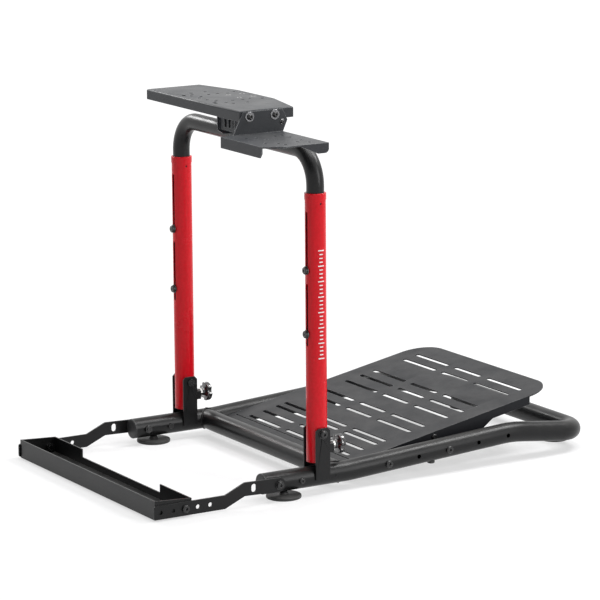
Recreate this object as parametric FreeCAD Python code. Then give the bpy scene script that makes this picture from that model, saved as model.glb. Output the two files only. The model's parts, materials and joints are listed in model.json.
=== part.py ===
import FreeCAD, Part
import math
import os

os.makedirs("parts", exist_ok=True)

V = FreeCAD.Vector

# ---------------------------------------------------------------------------
# Driving dimensions, in mm. +Z is up, +Y points at the pedals, and +X is the
# driver's right. The frame is drawn about the masts: X = 0 is its middle
# plane and Y = 0 is the plane of the masts. save() then moves every solid so
# that the origin is at the middle of the bounding box's foot.
# ---------------------------------------------------------------------------

# clearances
moving_gap = 0.3          # between faces of different bodies
pin_gap = 0.06            # radial, a bolt in the hole that turns on it
seat_gap = 0.05           # radial, a bolt or tube in its own fixed hole

# tubes
tube_d = 38.0             # rails, masts, cross tubes
tube_wall = 2.0
inner_tube_d = 32.0       # the height-adjusting U tube
inner_tube_wall = 1.8
track = 486.0             # rail to rail and mast to mast, centre to centre

# base frame
rail_z = 31.0             # height of the rails' level front ends
rail_front_y = -118.0
kink_y = 65.0             # behind the brackets the rails start to climb
rail_rise = 3.7           # degrees
crest_y = 425.0           # here they turn down again
rail_fall = 6.8           # degrees
bow_start_y = 478.0       # joint between the rails and the rear bow
rear_axis_y = 586.0       # axis of the rear cross tube
kink_radius = 240.0
corner_radius = 50.0      # plan bends of the rear bow
cross_y = 45.0            # axis of the front cross tube
end_cap_t = 3.0

# mast brackets
plate_t = 3.0             # clevis plates, arms
clevis_width = 30.0
clevis_top = 122.0
clevis_bottom = 27.0
pivot_z = 111.0
clevis_nose = 5.0         # cut corners at the top of a cheek
knob_z = 84.0
knob_web_gap = 1.5        # from the mast to the web that takes the knob
knob_web_h = 16.0
knob_boss_d = 14.0
knob_boss_l = 7.0
knob_d = 36.0
knob_lobes = 3
knob_dip_r = 7.0          # radius of the hollows between the lobes
knob_dip_depth = 3.5
knob_turn = {1: -15.0, -1: 13.0}     # angle of the first hollow, right and left
knob_t = 10.0
knob_hub_d = 15.0
knob_reach = 18.5         # from that web to the near face of the knob's grip

# masts
mast_bottom = 58.0
mast_top = 548.0
collar_h = 12.0
collar_t = 0.75
sleeve_l = 44.0
slot_w = 7.0
low_slot_drop = (277.0, 163.0)       # ends of the slots, below a mast's top
high_slot_drop = (146.0, 33.0)
slot_bolt_drop = (255.0, 139.0)
pin_hole = (18.0, 2.0)    # depth below a mast's top, and radius, of the pin hole

# U tube
leg_drop = 286.0          # lower ends of its legs, below the masts' tops
bar_rise = 72.0           # from the masts' tops to the crossbar's axis
bar_bend = 60.0
bush_l = 20.0

# fasteners
m6 = 6.0
m6_head_d = 11.0
m6_head_h = 3.6
m6_washer_d = 18.0
m8 = 8.0
m8_head_d = 14.0
m8_head_h = 4.6
m8_washer_d = 17.0
washer_t = 1.4
slot_bolt_head = (13.6, 4.4, 16.0)   # head and washer of the height bolts
small_bolt = (4.0, 7.6, 2.4, 9.0)    # shank, head and washer of the side screw
small_nut = (7.0, 3.2)
flat_head_d = 10.8        # countersunk head under the wheel
flat_sink = 0.1
nut_h = 5.0
nut_af = 10.0
m8_nut_af = 13.0

# wheel plate
plate_rise = 73.0         # from the crossbar's axis to the top of the wheel plate
sheet_t = 2.5
wheel_half = 170.0
wheel_back_half = 66.0
wheel_front_y = -112.0
wheel_side_y = 0.0
wheel_back_y = 24.5
wheel_flange = 19.0
wheel_bend = 3.0
wheel_hole_r = 3.3
outer_pattern = (78.0, -70.0, -40.0)
inner_column = 44.0
inner_rows = (-88.0, -52.0)
spare_holes = ((62.0, -76.0), (46.0, -32.0), (40.0, -14.0), (52.0, 6.0), (28.0, -77.0), (14.0, -88.0))
front_slot = (57.0, -96.0)
slot_hole_l = 14.0

# saddle bracket between the wheel plate and the U tube
saddle_half = 32.0
saddle_front = -42.0
saddle_back = 34.0
saddle_web_y = -38.0
saddle_web_drop = 63.0    # lowest edge of the front web, below the wheel plate's top
saddle_slots = (-7.0, 8.0, 23.0)
saddle_slot_drop = (57.0, 25.0)
saddle_slot_w = 8.5
saddle_nose = (12.0, 8.0)
saddle_floor_gap = 1.0
strap_x = 18.0
strap_w = 20.0
strap_ear = 13.0
saddle_bolt_x = 20.0
saddle_bolt_y = (-24.0, 5.0)

# shifter plate
shift_drop = 42.0         # from the wheel plate's top to the top of its deck
shift_front = -150.0
shift_back = -24.0
shift_width = 157.0
shift_chamfer = (18.0, 33.0)
shift_lip = 20.0
shift_side_lip = 18.0
shift_side_lip_y = (-88.0, -46.0)
shift_lip_corner = 8.0
shift_bolt = (-92.0, -40.0)
shift_bolt_drop = 11.0
shift_small_bolt = (-25.0, 25.0)      # y, and depth below the wheel plate's top
shift_wall_front = (-105.0, -127.0)
shift_wall_back = (-24.0, -14.0, 22.0)
shift_lip_cut = (6.0, 8.0)
shift_rect_a = (42.0, 108.0, -122.0, -50.0)
shift_rect_b = (70.0, 136.0, -98.0, -50.0)
shift_rect_c = (46.0, 122.0, -104.0, -66.0)

# pedal plate
pedal_t = 2.5
pedal_gap = 2.0           # between the plate's sides and the rails
pedal_front_y = 80.0
pedal_back_y = 540.0
pedal_front_z = 35.2      # top face at the front edge
pedal_slope = 10.8        # degrees
pedal_corner = 58.0
pedal_flange = 17.0
pedal_web_z = 20.0        # lowest edge of the side webs
pedal_web_y = (104.0, 318.0)
pedal_web_end_y = 398.0
pedal_slot_w = 9.0
pedal_seam = (95.5, 10.0, 3.0)    # y, end margin and width of the slot at the front edge
pedal_side_slot = (66.0, 181.0)
pedal_mid_slot = 45.0
pedal_rows = (108.0, 138.0, 168.0, 187.0, 242.0, 273.0, 325.0, 360.0, 390.0, 461.0, 491.0)
rail_hole_y = 142.0
rail_hole_pitch = 66.0
rail_holes = 5
rail_bolt_rows = (0, 2)
web_bolt = (267.0, 61.5)     # y and z of the spare bolt above each rail

# chair stop
arm_h = 25.0
arm_pivot_y = -92.0
arm_low_z = 15.5
arm_high_z = 33.0
arm_drop_y = (-164.0, -204.0)
arm_end_y = -347.0
arm_corner = 4.0
arm_hole_y = -234.0
arm_hole_pitch = 25.0
arm_holes = 5
arm_bolt_row = 2
arm_oval = (-145.0, 10.0, 15.0)
chan_front_y = -344.0
chan_back_y = -270.0
chan_h = 34.5
chan_low_h = 15.0
chan_tab = 112.0
chan_tab_h = 30.5
chan_z = 2.0
chan_t = 2.5
stub_screw_y = -43.0

# feet
foot_d = 64.0
foot_h = 6.0
foot_y = -70.0
foot_stem_d = 16.0
foot_stud_l = 14.0
bumper_y = 246.0
bumper_d = 14.0
bumper_h = 4.5
pad_d = 54.0
pad_x = 155.0
pad_top_d = 44.0

# ---------------------------------------------------------------------------
# Sizes worked out from the driving dimensions
# ---------------------------------------------------------------------------
half = track / 2.0
tube_r = tube_d / 2.0
inner_r = inner_tube_d / 2.0
mast_bore_r = tube_r - tube_wall
clevis_in = tube_r + moving_gap
clevis_out = clevis_in + plate_t
arm_in = half + tube_r + 2.0 * moving_gap
arm_out = arm_in + plate_t
low_slot = (mast_top - low_slot_drop[0], mast_top - low_slot_drop[1])
high_slot = (mast_top - high_slot_drop[0], mast_top - high_slot_drop[1])
slot_bolt_z = (mast_top - slot_bolt_drop[0], mast_top - slot_bolt_drop[1])
leg_bottom = mast_top - leg_drop
bar_z = mast_top + bar_rise
plate_z = bar_z + plate_rise
shift_z = plate_z - shift_drop
shift_bolt_z = plate_z - shift_bolt_drop
pedal_half = half - tube_r - pedal_gap
knob_web_y = tube_r + knob_web_gap + plate_t
knob_face_y = knob_web_y + knob_reach
wall_in = wheel_half + 0.1
wall_out = wall_in + sheet_t
shift_right = wall_out + shift_width


def rail_height(y):
    """Height of the rail's axis at y, on the straight runs between its bends."""
    crest = rail_z + (crest_y - kink_y) * math.tan(math.radians(rail_rise))
    if y <= kink_y:
        return rail_z
    if y <= crest_y:
        return rail_z + (y - kink_y) * math.tan(math.radians(rail_rise))
    return crest - (y - crest_y) * math.tan(math.radians(rail_fall))


def pedal_height(y):
    """Height of the pedal plate's top face at y."""
    return pedal_front_z + (y - pedal_front_y) * math.tan(math.radians(pedal_slope))


rear_axis_z = rail_height(rear_axis_y)

# move from the drawing frame to the origin at the foot of the bounding box
left_extent = -(half + foot_d / 2.0)
front_extent = arm_end_y
strap_bolt_y = inner_r + moving_gap + plate_t + strap_ear / 2.0
rear_extent = rear_axis_y + max(tube_r, pad_d / 2.0)
shift = V(-(left_extent + shift_right) / 2.0, -(front_extent + rear_extent) / 2.0, 0)


# ---------------------------------------------------------------------------
# Small helpers
# ---------------------------------------------------------------------------
def box(x0, x1, y0, y1, z0, z1):
    """Axis-aligned block between two corners."""
    return Part.makeBox(x1 - x0, y1 - y0, z1 - z0, V(x0, y0, z0))


def rod(start, end, radius):
    """Solid cylinder from one point to another."""
    axis = end.sub(start)
    return Part.makeCylinder(radius, axis.Length, start, axis)


def join(shapes):
    """One clean solid from shapes that touch or overlap."""
    body = shapes[0]
    if len(shapes) > 1:
        body = body.multiFuse(shapes[1:])
    return body.removeSplitter()


def prism(points, direction):
    """Extrude a closed polygon."""
    wire = Part.makePolygon(points + [points[0]])
    return Part.Face(wire).extrude(direction)


def mirrored(shape):
    """The same shape on the other side of the middle plane."""
    return shape.mirror(V(0, 0, 0), V(1, 0, 0))


def save(name, shapes):
    """Write one node, moved to the origin of the part."""
    solids = []
    for shape in shapes:
        solids.extend(shape.Solids)
    node = solids[0] if len(solids) == 1 else Part.makeCompound(solids)
    node = node.copy()
    node.translate(shift)
    node.exportStep("parts/" + name + ".step")


def bent_rod(points, bend_radii, radius):
    """Round bar along straight runs joined by tangent arcs."""
    pieces = []
    start = points[0]
    for index in range(1, len(points) - 1):
        corner = points[index]
        before = corner.sub(points[index - 1]).normalize()
        after = points[index + 1].sub(corner).normalize()
        turn = before.getAngle(after)
        bend = bend_radii[index - 1]
        setback = bend * math.tan(turn / 2.0)
        arc_start = corner.sub(V(before).multiply(setback))
        arc_end = corner.add(V(after).multiply(setback))
        normal = before.cross(after).normalize()
        centre = arc_start.add(normal.cross(before).multiply(bend))
        disc = Part.Face(Part.Wire(Part.makeCircle(radius, arc_start, before)))
        pieces.append(rod(start, arc_start, radius))
        pieces.append(disc.revolve(centre, normal, math.degrees(turn)))
        start = arc_end
    pieces.append(rod(start, points[-1], radius))
    return join(pieces)


def bent_tube(points, bend_radii, outer_d, wall):
    """Hollow version of bent_rod."""
    outer = bent_rod(points, bend_radii, outer_d / 2.0)
    return outer.cut(bent_rod(points, bend_radii, outer_d / 2.0 - wall))


def turned(shape, seat, direction):
    """Move a fastener drawn along -Z below the origin to its seat."""
    shape.Placement = FreeCAD.Placement(seat, FreeCAD.Rotation(V(0, 0, -1), direction))
    return shape


def hexagon(across_flats, height, base_z):
    """Hexagonal block."""
    corner = across_flats / math.sqrt(3.0)
    points = []
    for side in range(6):
        angle = math.radians(60.0 * side)
        points.append(V(corner * math.cos(angle), corner * math.sin(angle), base_z))
    return prism(points, V(0, 0, height))


def bolt(size, head_d, head_h, washer_d, length, seat, direction):
    """Button-head socket bolt: seat is under the washer, direction is the shank's."""
    lift = washer_t if washer_d else 0.0
    head = Part.makeCylinder(head_d / 2.0, head_h, V(0, 0, lift))
    crown = max([edge for edge in head.Edges if edge.Closed], key=lambda edge: edge.CenterOfMass.z)
    head = head.makeFillet(head_h * 0.45, [crown])
    head = head.cut(hexagon(size * 0.62, head_h * 0.6, lift + head_h * 0.4))
    pieces = [head, Part.makeCylinder(size / 2.0, length + lift, V(0, 0, -length))]
    if washer_d:
        pieces.append(Part.makeCylinder(washer_d / 2.0, washer_t))
    return turned(join(pieces), seat, direction)


def flat_screw(size, head_d, length, seat, direction):
    """Countersunk socket screw whose head is level with seat."""
    depth = (head_d - size) / 2.0
    head = Part.makeCone(size / 2.0, head_d / 2.0, depth, V(0, 0, -depth))
    shank = Part.makeCylinder(size / 2.0, length, V(0, 0, -length))
    body = join([head, shank]).cut(hexagon(size * 0.6, depth * 0.7, -depth * 0.7))
    return turned(body, seat, direction)


def nut(size, across_flats, height, seat, direction):
    """Hexagon nut with its seat face at seat, growing along direction."""
    body = hexagon(across_flats, height, -height)
    body = body.cut(Part.makeCylinder(size / 2.0 + seat_gap, height + 2.0, V(0, 0, -height - 1.0)))
    return turned(body, seat, direction)


def slot_cutter(length, width, depth, centre, axis):
    """Block with round ends; the two letters of axis name its long and its deep direction."""
    reach = length / 2.0 - width / 2.0
    along = {"X": V(1, 0, 0), "Y": V(0, 1, 0), "Z": V(0, 0, 1)}[axis[0]]
    through = {"X": V(1, 0, 0), "Y": V(0, 1, 0), "Z": V(0, 0, 1)}[axis[1]]
    start = centre.sub(V(through).multiply(depth / 2.0))
    ends = [start.sub(V(along).multiply(reach)), start.add(V(along).multiply(reach))]
    side = along.cross(through).multiply(width / 2.0)
    middle = prism([ends[0].sub(side), ends[1].sub(side), ends[1].add(side), ends[0].add(side)],
                   V(through).multiply(depth))
    rounds = [Part.makeCylinder(width / 2.0, depth, end, through) for end in ends]
    return join([middle] + rounds)


# ---------------------------------------------------------------------------
# Base frame
# ---------------------------------------------------------------------------
def rail(side):
    """One side rail, from its capped front end to the joint with the rear bow."""
    x = side * half
    path = [V(x, rail_front_y + end_cap_t, rail_z), V(x, kink_y, rail_z),
            V(x, crest_y, rail_height(crest_y)), V(x, bow_start_y, rail_height(bow_start_y))]
    tube = bent_tube(path, [kink_radius, kink_radius], tube_d, tube_wall)
    reach = tube_r + 2.0
    for row in range(rail_holes):
        y = rail_hole_y + row * rail_hole_pitch
        z = rail_height(y)
        tube = tube.cut(rod(V(x - reach, y, z), V(x + reach, y, z), m8 / 2.0 + seat_gap))
    for y, size in ((arm_pivot_y, m8), (stub_screw_y, m6)):
        tube = tube.cut(rod(V(x - reach, y, rail_z), V(x + reach, y, rail_z), size / 2.0 + seat_gap))
    stud_hole = rod(V(x, foot_y, rail_z - reach), V(x, foot_y, rail_z), m8 / 2.0 + pin_gap)
    return tube.cut(stud_hole)


def rail_cap(side):
    """Plug that closes the front end of a rail."""
    x = side * half
    start = V(x, rail_front_y, rail_z)
    face = rod(start, V(x, rail_front_y + end_cap_t, rail_z), tube_r)
    rim = min([edge for edge in face.Edges if edge.Closed], key=lambda edge: edge.CenterOfMass.y)
    face = face.makeFillet(end_cap_t * 0.6, [rim])
    spigot = rod(start, V(x, rail_front_y + 16.0, rail_z), tube_r - tube_wall - seat_gap)
    return join([face, spigot])


def rear_bow():
    """The bent tube that closes the frame at the back."""
    start_z = rail_height(bow_start_y)
    path = [V(-half, bow_start_y, start_z), V(-half, rear_axis_y, rear_axis_z),
            V(half, rear_axis_y, rear_axis_z), V(half, bow_start_y, start_z)]
    return bent_tube(path, [corner_radius, corner_radius], tube_d, tube_wall)


def bow_spigot(side):
    """Swaged liner that joins a rail to the rear bow."""
    x = side * half
    slope = math.tan(math.radians(rail_fall))
    reach = 22.0
    start = V(x, bow_start_y - reach, rail_height(bow_start_y) + reach * slope)
    end = V(x, bow_start_y + reach, rail_height(bow_start_y) - reach * slope)
    outer = rod(start, end, tube_r - tube_wall - seat_gap)
    return outer.cut(rod(start, end, tube_r - 2.0 * tube_wall))


def front_cross_tube():
    """Straight tube welded between the rails behind the brackets."""
    start = V(-half, cross_y, rail_z)
    end = V(half, cross_y, rail_z)
    tube = rod(start, end, tube_r).cut(rod(start, end, tube_r - tube_wall))
    for side in (-1, 1):
        x = side * half
        saddle = rod(V(x, cross_y - tube_d, rail_z), V(x, cross_y + tube_d, rail_z), tube_r + seat_gap)
        tube = tube.cut(saddle)
    return join(tube.Solids)


def clevis(side):
    """Bracket that holds a mast: two cheek plates and the knob's web."""
    x = side * half
    edge = clevis_width / 2.0
    shoulder = clevis_top - clevis_nose
    crown = edge - clevis_nose
    outline = [V(0, -edge, clevis_bottom), V(0, edge, clevis_bottom), V(0, edge, shoulder),
               V(0, crown, clevis_top), V(0, -crown, clevis_top), V(0, -edge, shoulder)]
    web_z = (knob_z - knob_web_h / 2.0, knob_z + knob_web_h / 2.0)
    pieces = []
    for cheek in (-clevis_out, clevis_in):
        plate = prism(outline, V(plate_t, 0, 0))
        plate.translate(V(x + cheek, 0, 0))
        ear = box(x + cheek, x + cheek + plate_t, edge, knob_web_y, web_z[0], web_z[1])
        pieces.extend([plate, ear])
    pieces.append(box(x - clevis_out, x + clevis_out, knob_web_y - plate_t, knob_web_y, web_z[0], web_z[1]))
    pieces.append(rod(V(x, knob_web_y, knob_z), V(x, knob_web_y + knob_boss_l, knob_z), knob_boss_d / 2.0))
    body = join(pieces)
    body = body.cut(rod(V(x, 0, knob_z), V(x, knob_web_y + 10.0, knob_z), m8 / 2.0 + pin_gap))
    reach = clevis_out + 2.0
    return body.cut(rod(V(x - reach, 0, pivot_z), V(x + reach, 0, pivot_z), m8 / 2.0 + seat_gap))


def pivot_bolts():
    """The bolts that the masts fold on, with their lock nuts."""
    solids = []
    for side in (-1, 1):
        head = V(side * (half + clevis_out), 0, pivot_z)
        tail = V(side * (half - clevis_out), 0, pivot_z)
        inward = V(-side, 0, 0)
        length = 2.0 * clevis_out + nut_h + 1.0
        solids.append(bolt(m8, m8_head_d, m8_head_h, m8_washer_d, length, head, inward))
        solids.append(nut(m8, m8_nut_af, nut_h, tail, inward))
    return solids


def stub_screws():
    """Small screw through each rail in front of its bracket."""
    solids = []
    for side in (-1, 1):
        head = V(side * (half + tube_r), stub_screw_y, rail_z)
        solids.append(bolt(m6, m6_head_d, m6_head_h, 0.0, tube_d + 4.0, head, V(-side, 0, 0)))
        tail = V(side * (half - tube_r), stub_screw_y, rail_z)
        solids.append(nut(m6, nut_af, 4.0, tail, V(-side, 0, 0)))
    return solids


# ---------------------------------------------------------------------------
# Pedal plate
# ---------------------------------------------------------------------------
def pedal_sheet():
    """Flat sheet of the pedal plate, drawn level and then tilted."""
    tilt = math.radians(pedal_slope)
    length = (pedal_back_y - pedal_front_y) / math.cos(tilt)
    sheet = box(-pedal_half, pedal_half, 0, length, -pedal_t, 0)
    corners = [edge for edge in sheet.Edges
               if abs(edge.tangentAt(edge.FirstParameter).z) > 0.9 and edge.CenterOfMass.y > 1.0]
    sheet = sheet.makeFillet(pedal_corner, corners)
    for row in pedal_rows:
        y = (row - pedal_front_y) / math.cos(tilt)
        middle = V(0, y, 0)
        sheet = sheet.cut(slot_cutter(2.0 * pedal_mid_slot, pedal_slot_w, 20.0, middle, "XZ"))
        side_length = pedal_side_slot[1] - pedal_side_slot[0]
        side_centre = (pedal_side_slot[0] + pedal_side_slot[1]) / 2.0
        for side in (-1, 1):
            centre = V(side * side_centre, y, 0)
            sheet = sheet.cut(slot_cutter(side_length, pedal_slot_w, 20.0, centre, "XZ"))
    seam_y, seam_margin, seam_w = pedal_seam
    seam_half = pedal_half - seam_margin
    middle = V(0, (seam_y - pedal_front_y) / math.cos(tilt), 0)
    sheet = sheet.cut(slot_cutter(2.0 * seam_half, seam_w, 20.0, middle, "XZ"))
    sheet.rotate(V(0, 0, 0), V(1, 0, 0), pedal_slope)
    sheet.translate(V(0, pedal_front_y, pedal_front_z))
    return sheet


def pedal_web(side):
    """Side web of the pedal plate: deep where the rails carry it, narrow behind."""
    end_y = pedal_back_y - pedal_corner
    under = pedal_t / 2.0
    outline = [V(0, pedal_front_y, pedal_height(pedal_front_y) - under),
               V(0, pedal_front_y, pedal_web_z),
               V(0, pedal_web_y[1], pedal_web_z),
               V(0, pedal_web_end_y, pedal_height(pedal_web_end_y) - pedal_flange),
               V(0, end_y, pedal_height(end_y) - pedal_flange),
               V(0, end_y, pedal_height(end_y) - under)]
    web = prism(outline, V(pedal_t, 0, 0))
    inner = pedal_half - pedal_t
    web.translate(V(inner if side > 0 else -pedal_half, 0, 0))
    return web


def pedal_lip():
    """Front edge of the pedal plate, bent down."""
    return box(-pedal_half, pedal_half, pedal_front_y, pedal_front_y + pedal_t,
               pedal_front_z - 13.0, pedal_front_z - pedal_t / 2.0)


def pedal_plate():
    """Slotted plate with side webs, hung between the rails."""
    body = join([pedal_sheet(), pedal_web(-1), pedal_web(1), pedal_lip()])
    for row in range(rail_holes):
        y = rail_hole_y + row * rail_hole_pitch
        if row in rail_bolt_rows:
            z = rail_height(y)
            body = body.cut(rod(V(-half, y, z), V(half, y, z), m8 / 2.0 + seat_gap))
    y, z = web_bolt
    return body.cut(rod(V(-half, y, z), V(half, y, z), m6 / 2.0 + seat_gap))


def pedal_bolts():
    """Bolts through the rails into the pedal plate's webs, with nuts inside."""
    solids = []
    for side in (-1, 1):
        for row in rail_bolt_rows:
            y = rail_hole_y + row * rail_hole_pitch
            z = rail_height(y)
            head = V(side * (half + tube_r), y, z)
            inward = V(-side, 0, 0)
            web_face = pedal_half - pedal_t
            length = half + tube_r - web_face + nut_h + 2.0
            solids.append(bolt(m8, m8_head_d, m8_head_h, 0.0, length, head, inward))
            solids.append(nut(m8, m8_nut_af, nut_h, V(side * web_face, y, z), inward))
    return solids


def web_bolts():
    """Spare bolt in each side web, just above the rail."""
    solids = []
    y, z = web_bolt
    for side in (-1, 1):
        inward = V(-side, 0, 0)
        length = pedal_t + nut_h + 1.0
        solids.append(bolt(m6, m6_head_d, m6_head_h, 0.0, length, V(side * pedal_half, y, z), inward))
        solids.append(nut(m6, nut_af, nut_h, V(side * (pedal_half - pedal_t), y, z), inward))
    return solids


def pedal_spacers():
    """Washers that fill the space between each rail and the pedal plate's web."""
    solids = []
    for side in (-1, 1):
        for row in rail_bolt_rows:
            y = rail_hole_y + row * rail_hole_pitch
            z = rail_height(y)
            start = V(side * pedal_half, y, z)
            end = V(side * (half - tube_r), y, z)
            ring = rod(start, end, m8_nut_af / 2.0)
            solids.append(ring.cut(rod(start, end, m8 / 2.0 + seat_gap)))
    return solids


# ---------------------------------------------------------------------------
# Feet
# ---------------------------------------------------------------------------
def screw_foot(side):
    """Round levelling foot with a threaded stud into the rail."""
    x = side * half
    disc = Part.makeCylinder(foot_d / 2.0, foot_h, V(x, foot_y, 0))
    rim = max([edge for edge in disc.Edges if edge.Closed], key=lambda edge: edge.CenterOfMass.z)
    disc = disc.makeFillet(foot_h * 0.5, [rim])
    under_rail = rail_z - tube_r
    neck = Part.makeCylinder(foot_stem_d / 2.0, under_rail - moving_gap, V(x, foot_y, 0))
    stud = Part.makeCylinder(m8 / 2.0, under_rail + foot_stud_l, V(x, foot_y, 0))
    return join([disc, neck, stud])


def rear_pad(side):
    """Rubber pad under the rear cross tube, hollowed to fit the tube."""
    x = side * pad_x
    height = rear_axis_z
    cone = Part.makeCone(pad_d / 2.0, pad_top_d / 2.0, height, V(x, rear_axis_y, 0))
    cone = cone.cut(box(x - pad_d, x + pad_d, rear_axis_y - pad_d, rear_axis_y + pad_d,
                        rear_axis_z - tube_r * 0.45, height + 1.0))
    return cone.cut(rod(V(x - pad_d, rear_axis_y, rear_axis_z), V(x + pad_d, rear_axis_y, rear_axis_z),
                        tube_r + seat_gap))


def bumper(side):
    """Small rubber bumper under the middle of a rail."""
    x = side * half
    under = rail_height(bumper_y) - tube_r
    body = Part.makeCylinder(bumper_d / 2.0, bumper_h + 3.0, V(x, bumper_y, under - bumper_h))
    rim = min([edge for edge in body.Edges if edge.Closed], key=lambda edge: edge.CenterOfMass.z)
    body = body.makeFillet(2.0, [rim])
    climb = math.tan(math.radians(rail_rise))
    start = V(x, bumper_y - bumper_d, rail_height(bumper_y) - bumper_d * climb)
    end = V(x, bumper_y + bumper_d, rail_height(bumper_y) + bumper_d * climb)
    return body.cut(rod(start, end, tube_r + seat_gap))


# ---------------------------------------------------------------------------
# Lock knobs
# ---------------------------------------------------------------------------
def knob(side):
    """Lobed clamping knob with its hub and stud."""
    x = side * half
    grip = rod(V(x, knob_face_y, knob_z), V(x, knob_face_y + knob_t, knob_z), knob_d / 2.0)
    reach = knob_d / 2.0 + knob_dip_r - knob_dip_depth
    for lobe in range(knob_lobes):
        angle = math.radians(360.0 / knob_lobes * lobe + knob_turn[side])
        centre = V(x + reach * math.cos(angle), knob_face_y - 1.0, knob_z + reach * math.sin(angle))
        grip = grip.cut(rod(centre, centre.add(V(0, knob_t + 2.0, 0)), knob_dip_r))
    hub_start = V(x, knob_web_y + knob_boss_l + moving_gap, knob_z)
    hub = rod(hub_start, V(x, knob_face_y + 2.0, knob_z), knob_hub_d / 2.0)
    tip = V(x, tube_r + moving_gap, knob_z)
    stud = rod(tip, V(x, knob_face_y + knob_t - 2.0, knob_z), m8 / 2.0)
    return join([grip, hub, stud])


# ---------------------------------------------------------------------------
# Masts
# ---------------------------------------------------------------------------
def mast_tube(side):
    """Upright with two height slots facing the driver."""
    x = side * half
    tube = rod(V(x, 0, mast_bottom), V(x, 0, mast_top - tube_wall), tube_r)
    tube = tube.cut(rod(V(x, 0, mast_bottom), V(x, 0, mast_top), mast_bore_r))
    for low, high in (low_slot, high_slot):
        centre = V(x, -tube_r, (low + high) / 2.0)
        tube = tube.cut(slot_cutter(high - low, slot_w, tube_d * 0.8, centre, "ZY"))
    reach = tube_r + 1.0
    pin_drop, pin_r = pin_hole
    pin_z = mast_top - pin_drop
    tube = tube.cut(rod(V(x - reach, 0, pin_z), V(x + reach, 0, pin_z), pin_r))
    return tube.cut(rod(V(x - reach, 0, pivot_z), V(x + reach, 0, pivot_z), m8 / 2.0 + pin_gap))


def mast_collar(side):
    """Cap ring on the top of a mast, closed down to the U tube."""
    x = side * half
    low = mast_top - collar_h
    ring = rod(V(x, 0, low), V(x, 0, mast_top), tube_r + collar_t)
    rim = max([edge for edge in ring.Edges if edge.Closed], key=lambda edge: edge.CenterOfMass.z)
    ring = ring.makeFillet(0.8, [rim])
    ring = ring.cut(rod(V(x, 0, low - 1.0), V(x, 0, mast_top - tube_wall), tube_r + seat_gap))
    return ring.cut(rod(V(x, 0, low), V(x, 0, mast_top + 1.0), inner_r + moving_gap))


def guide_sleeve(side):
    """Plastic sleeve in the mast that the U tube slides in, notched for the slot."""
    x = side * half
    top = mast_top - tube_wall - seat_gap
    start = V(x, 0, top - sleeve_l)
    end = V(x, 0, top)
    ring = rod(start, end, mast_bore_r - seat_gap).cut(rod(start, end, inner_r + moving_gap))
    notch = box(x - slot_w / 2.0, x + slot_w / 2.0, -tube_r, 0, top - sleeve_l - 1.0, high_slot[1])
    return ring.cut(notch)


def mast_plug(side):
    """Plug in the bottom end of a mast."""
    x = side * half
    return rod(V(x, 0, mast_bottom), V(x, 0, mast_bottom + 8.0), mast_bore_r - seat_gap)


# ---------------------------------------------------------------------------
# U tube
# ---------------------------------------------------------------------------
def u_tube():
    """Height-adjusting tube: two legs and the crossbar, bent from one length."""
    path = [V(-half, 0, leg_bottom), V(-half, 0, bar_z), V(half, 0, bar_z), V(half, 0, leg_bottom)]
    tube = bent_tube(path, [bar_bend, bar_bend], inner_tube_d, inner_tube_wall)
    for side in (-1, 1):
        for z in slot_bolt_z:
            start = V(side * half, -inner_r - 1.0, z)
            tube = tube.cut(rod(start, V(side * half, 0, z), m6 / 2.0 + seat_gap))
    return tube


def leg_bush(side):
    """Plastic bush on the lower end of a leg."""
    x = side * half
    start = V(x, 0, leg_bottom)
    end = V(x, 0, leg_bottom + bush_l)
    ring = rod(start, end, mast_bore_r - moving_gap)
    return ring.cut(rod(start, end, inner_r + seat_gap))


def slot_bolts():
    """Four bolts with washers that clamp the legs through the mast slots."""
    solids = []
    for side in (-1, 1):
        for z in slot_bolt_z:
            seat = V(side * half, -tube_r - moving_gap, z)
            length = tube_r + moving_gap - inner_r + 6.0
            solids.append(bolt(m6, *slot_bolt_head, length, seat, V(0, 1, 0)))
    return solids


# ---------------------------------------------------------------------------
# Wheel deck
# ---------------------------------------------------------------------------
def wheel_outline(z, inset):
    """Corners of the wheel plate, moved in by inset."""
    side_x = wheel_half - inset
    back_x = wheel_back_half - inset
    front = wheel_front_y + inset
    middle = wheel_side_y - inset
    back = wheel_back_y - inset
    return [V(-side_x, front, z), V(side_x, front, z), V(side_x, middle, z),
            V(back_x, back, z), V(-back_x, back, z), V(-side_x, middle, z)]


def wheel_hole_places():
    """Centres of the round holes in the wheel plate."""
    places = []
    for side in (-1, 1):
        for y in outer_pattern[1:]:
            places.append((side * outer_pattern[0], y))
        for y in inner_rows:
            places.append((side * inner_column, y))
        for x, y in spare_holes:
            places.append((side * x, y))
    return places


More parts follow.
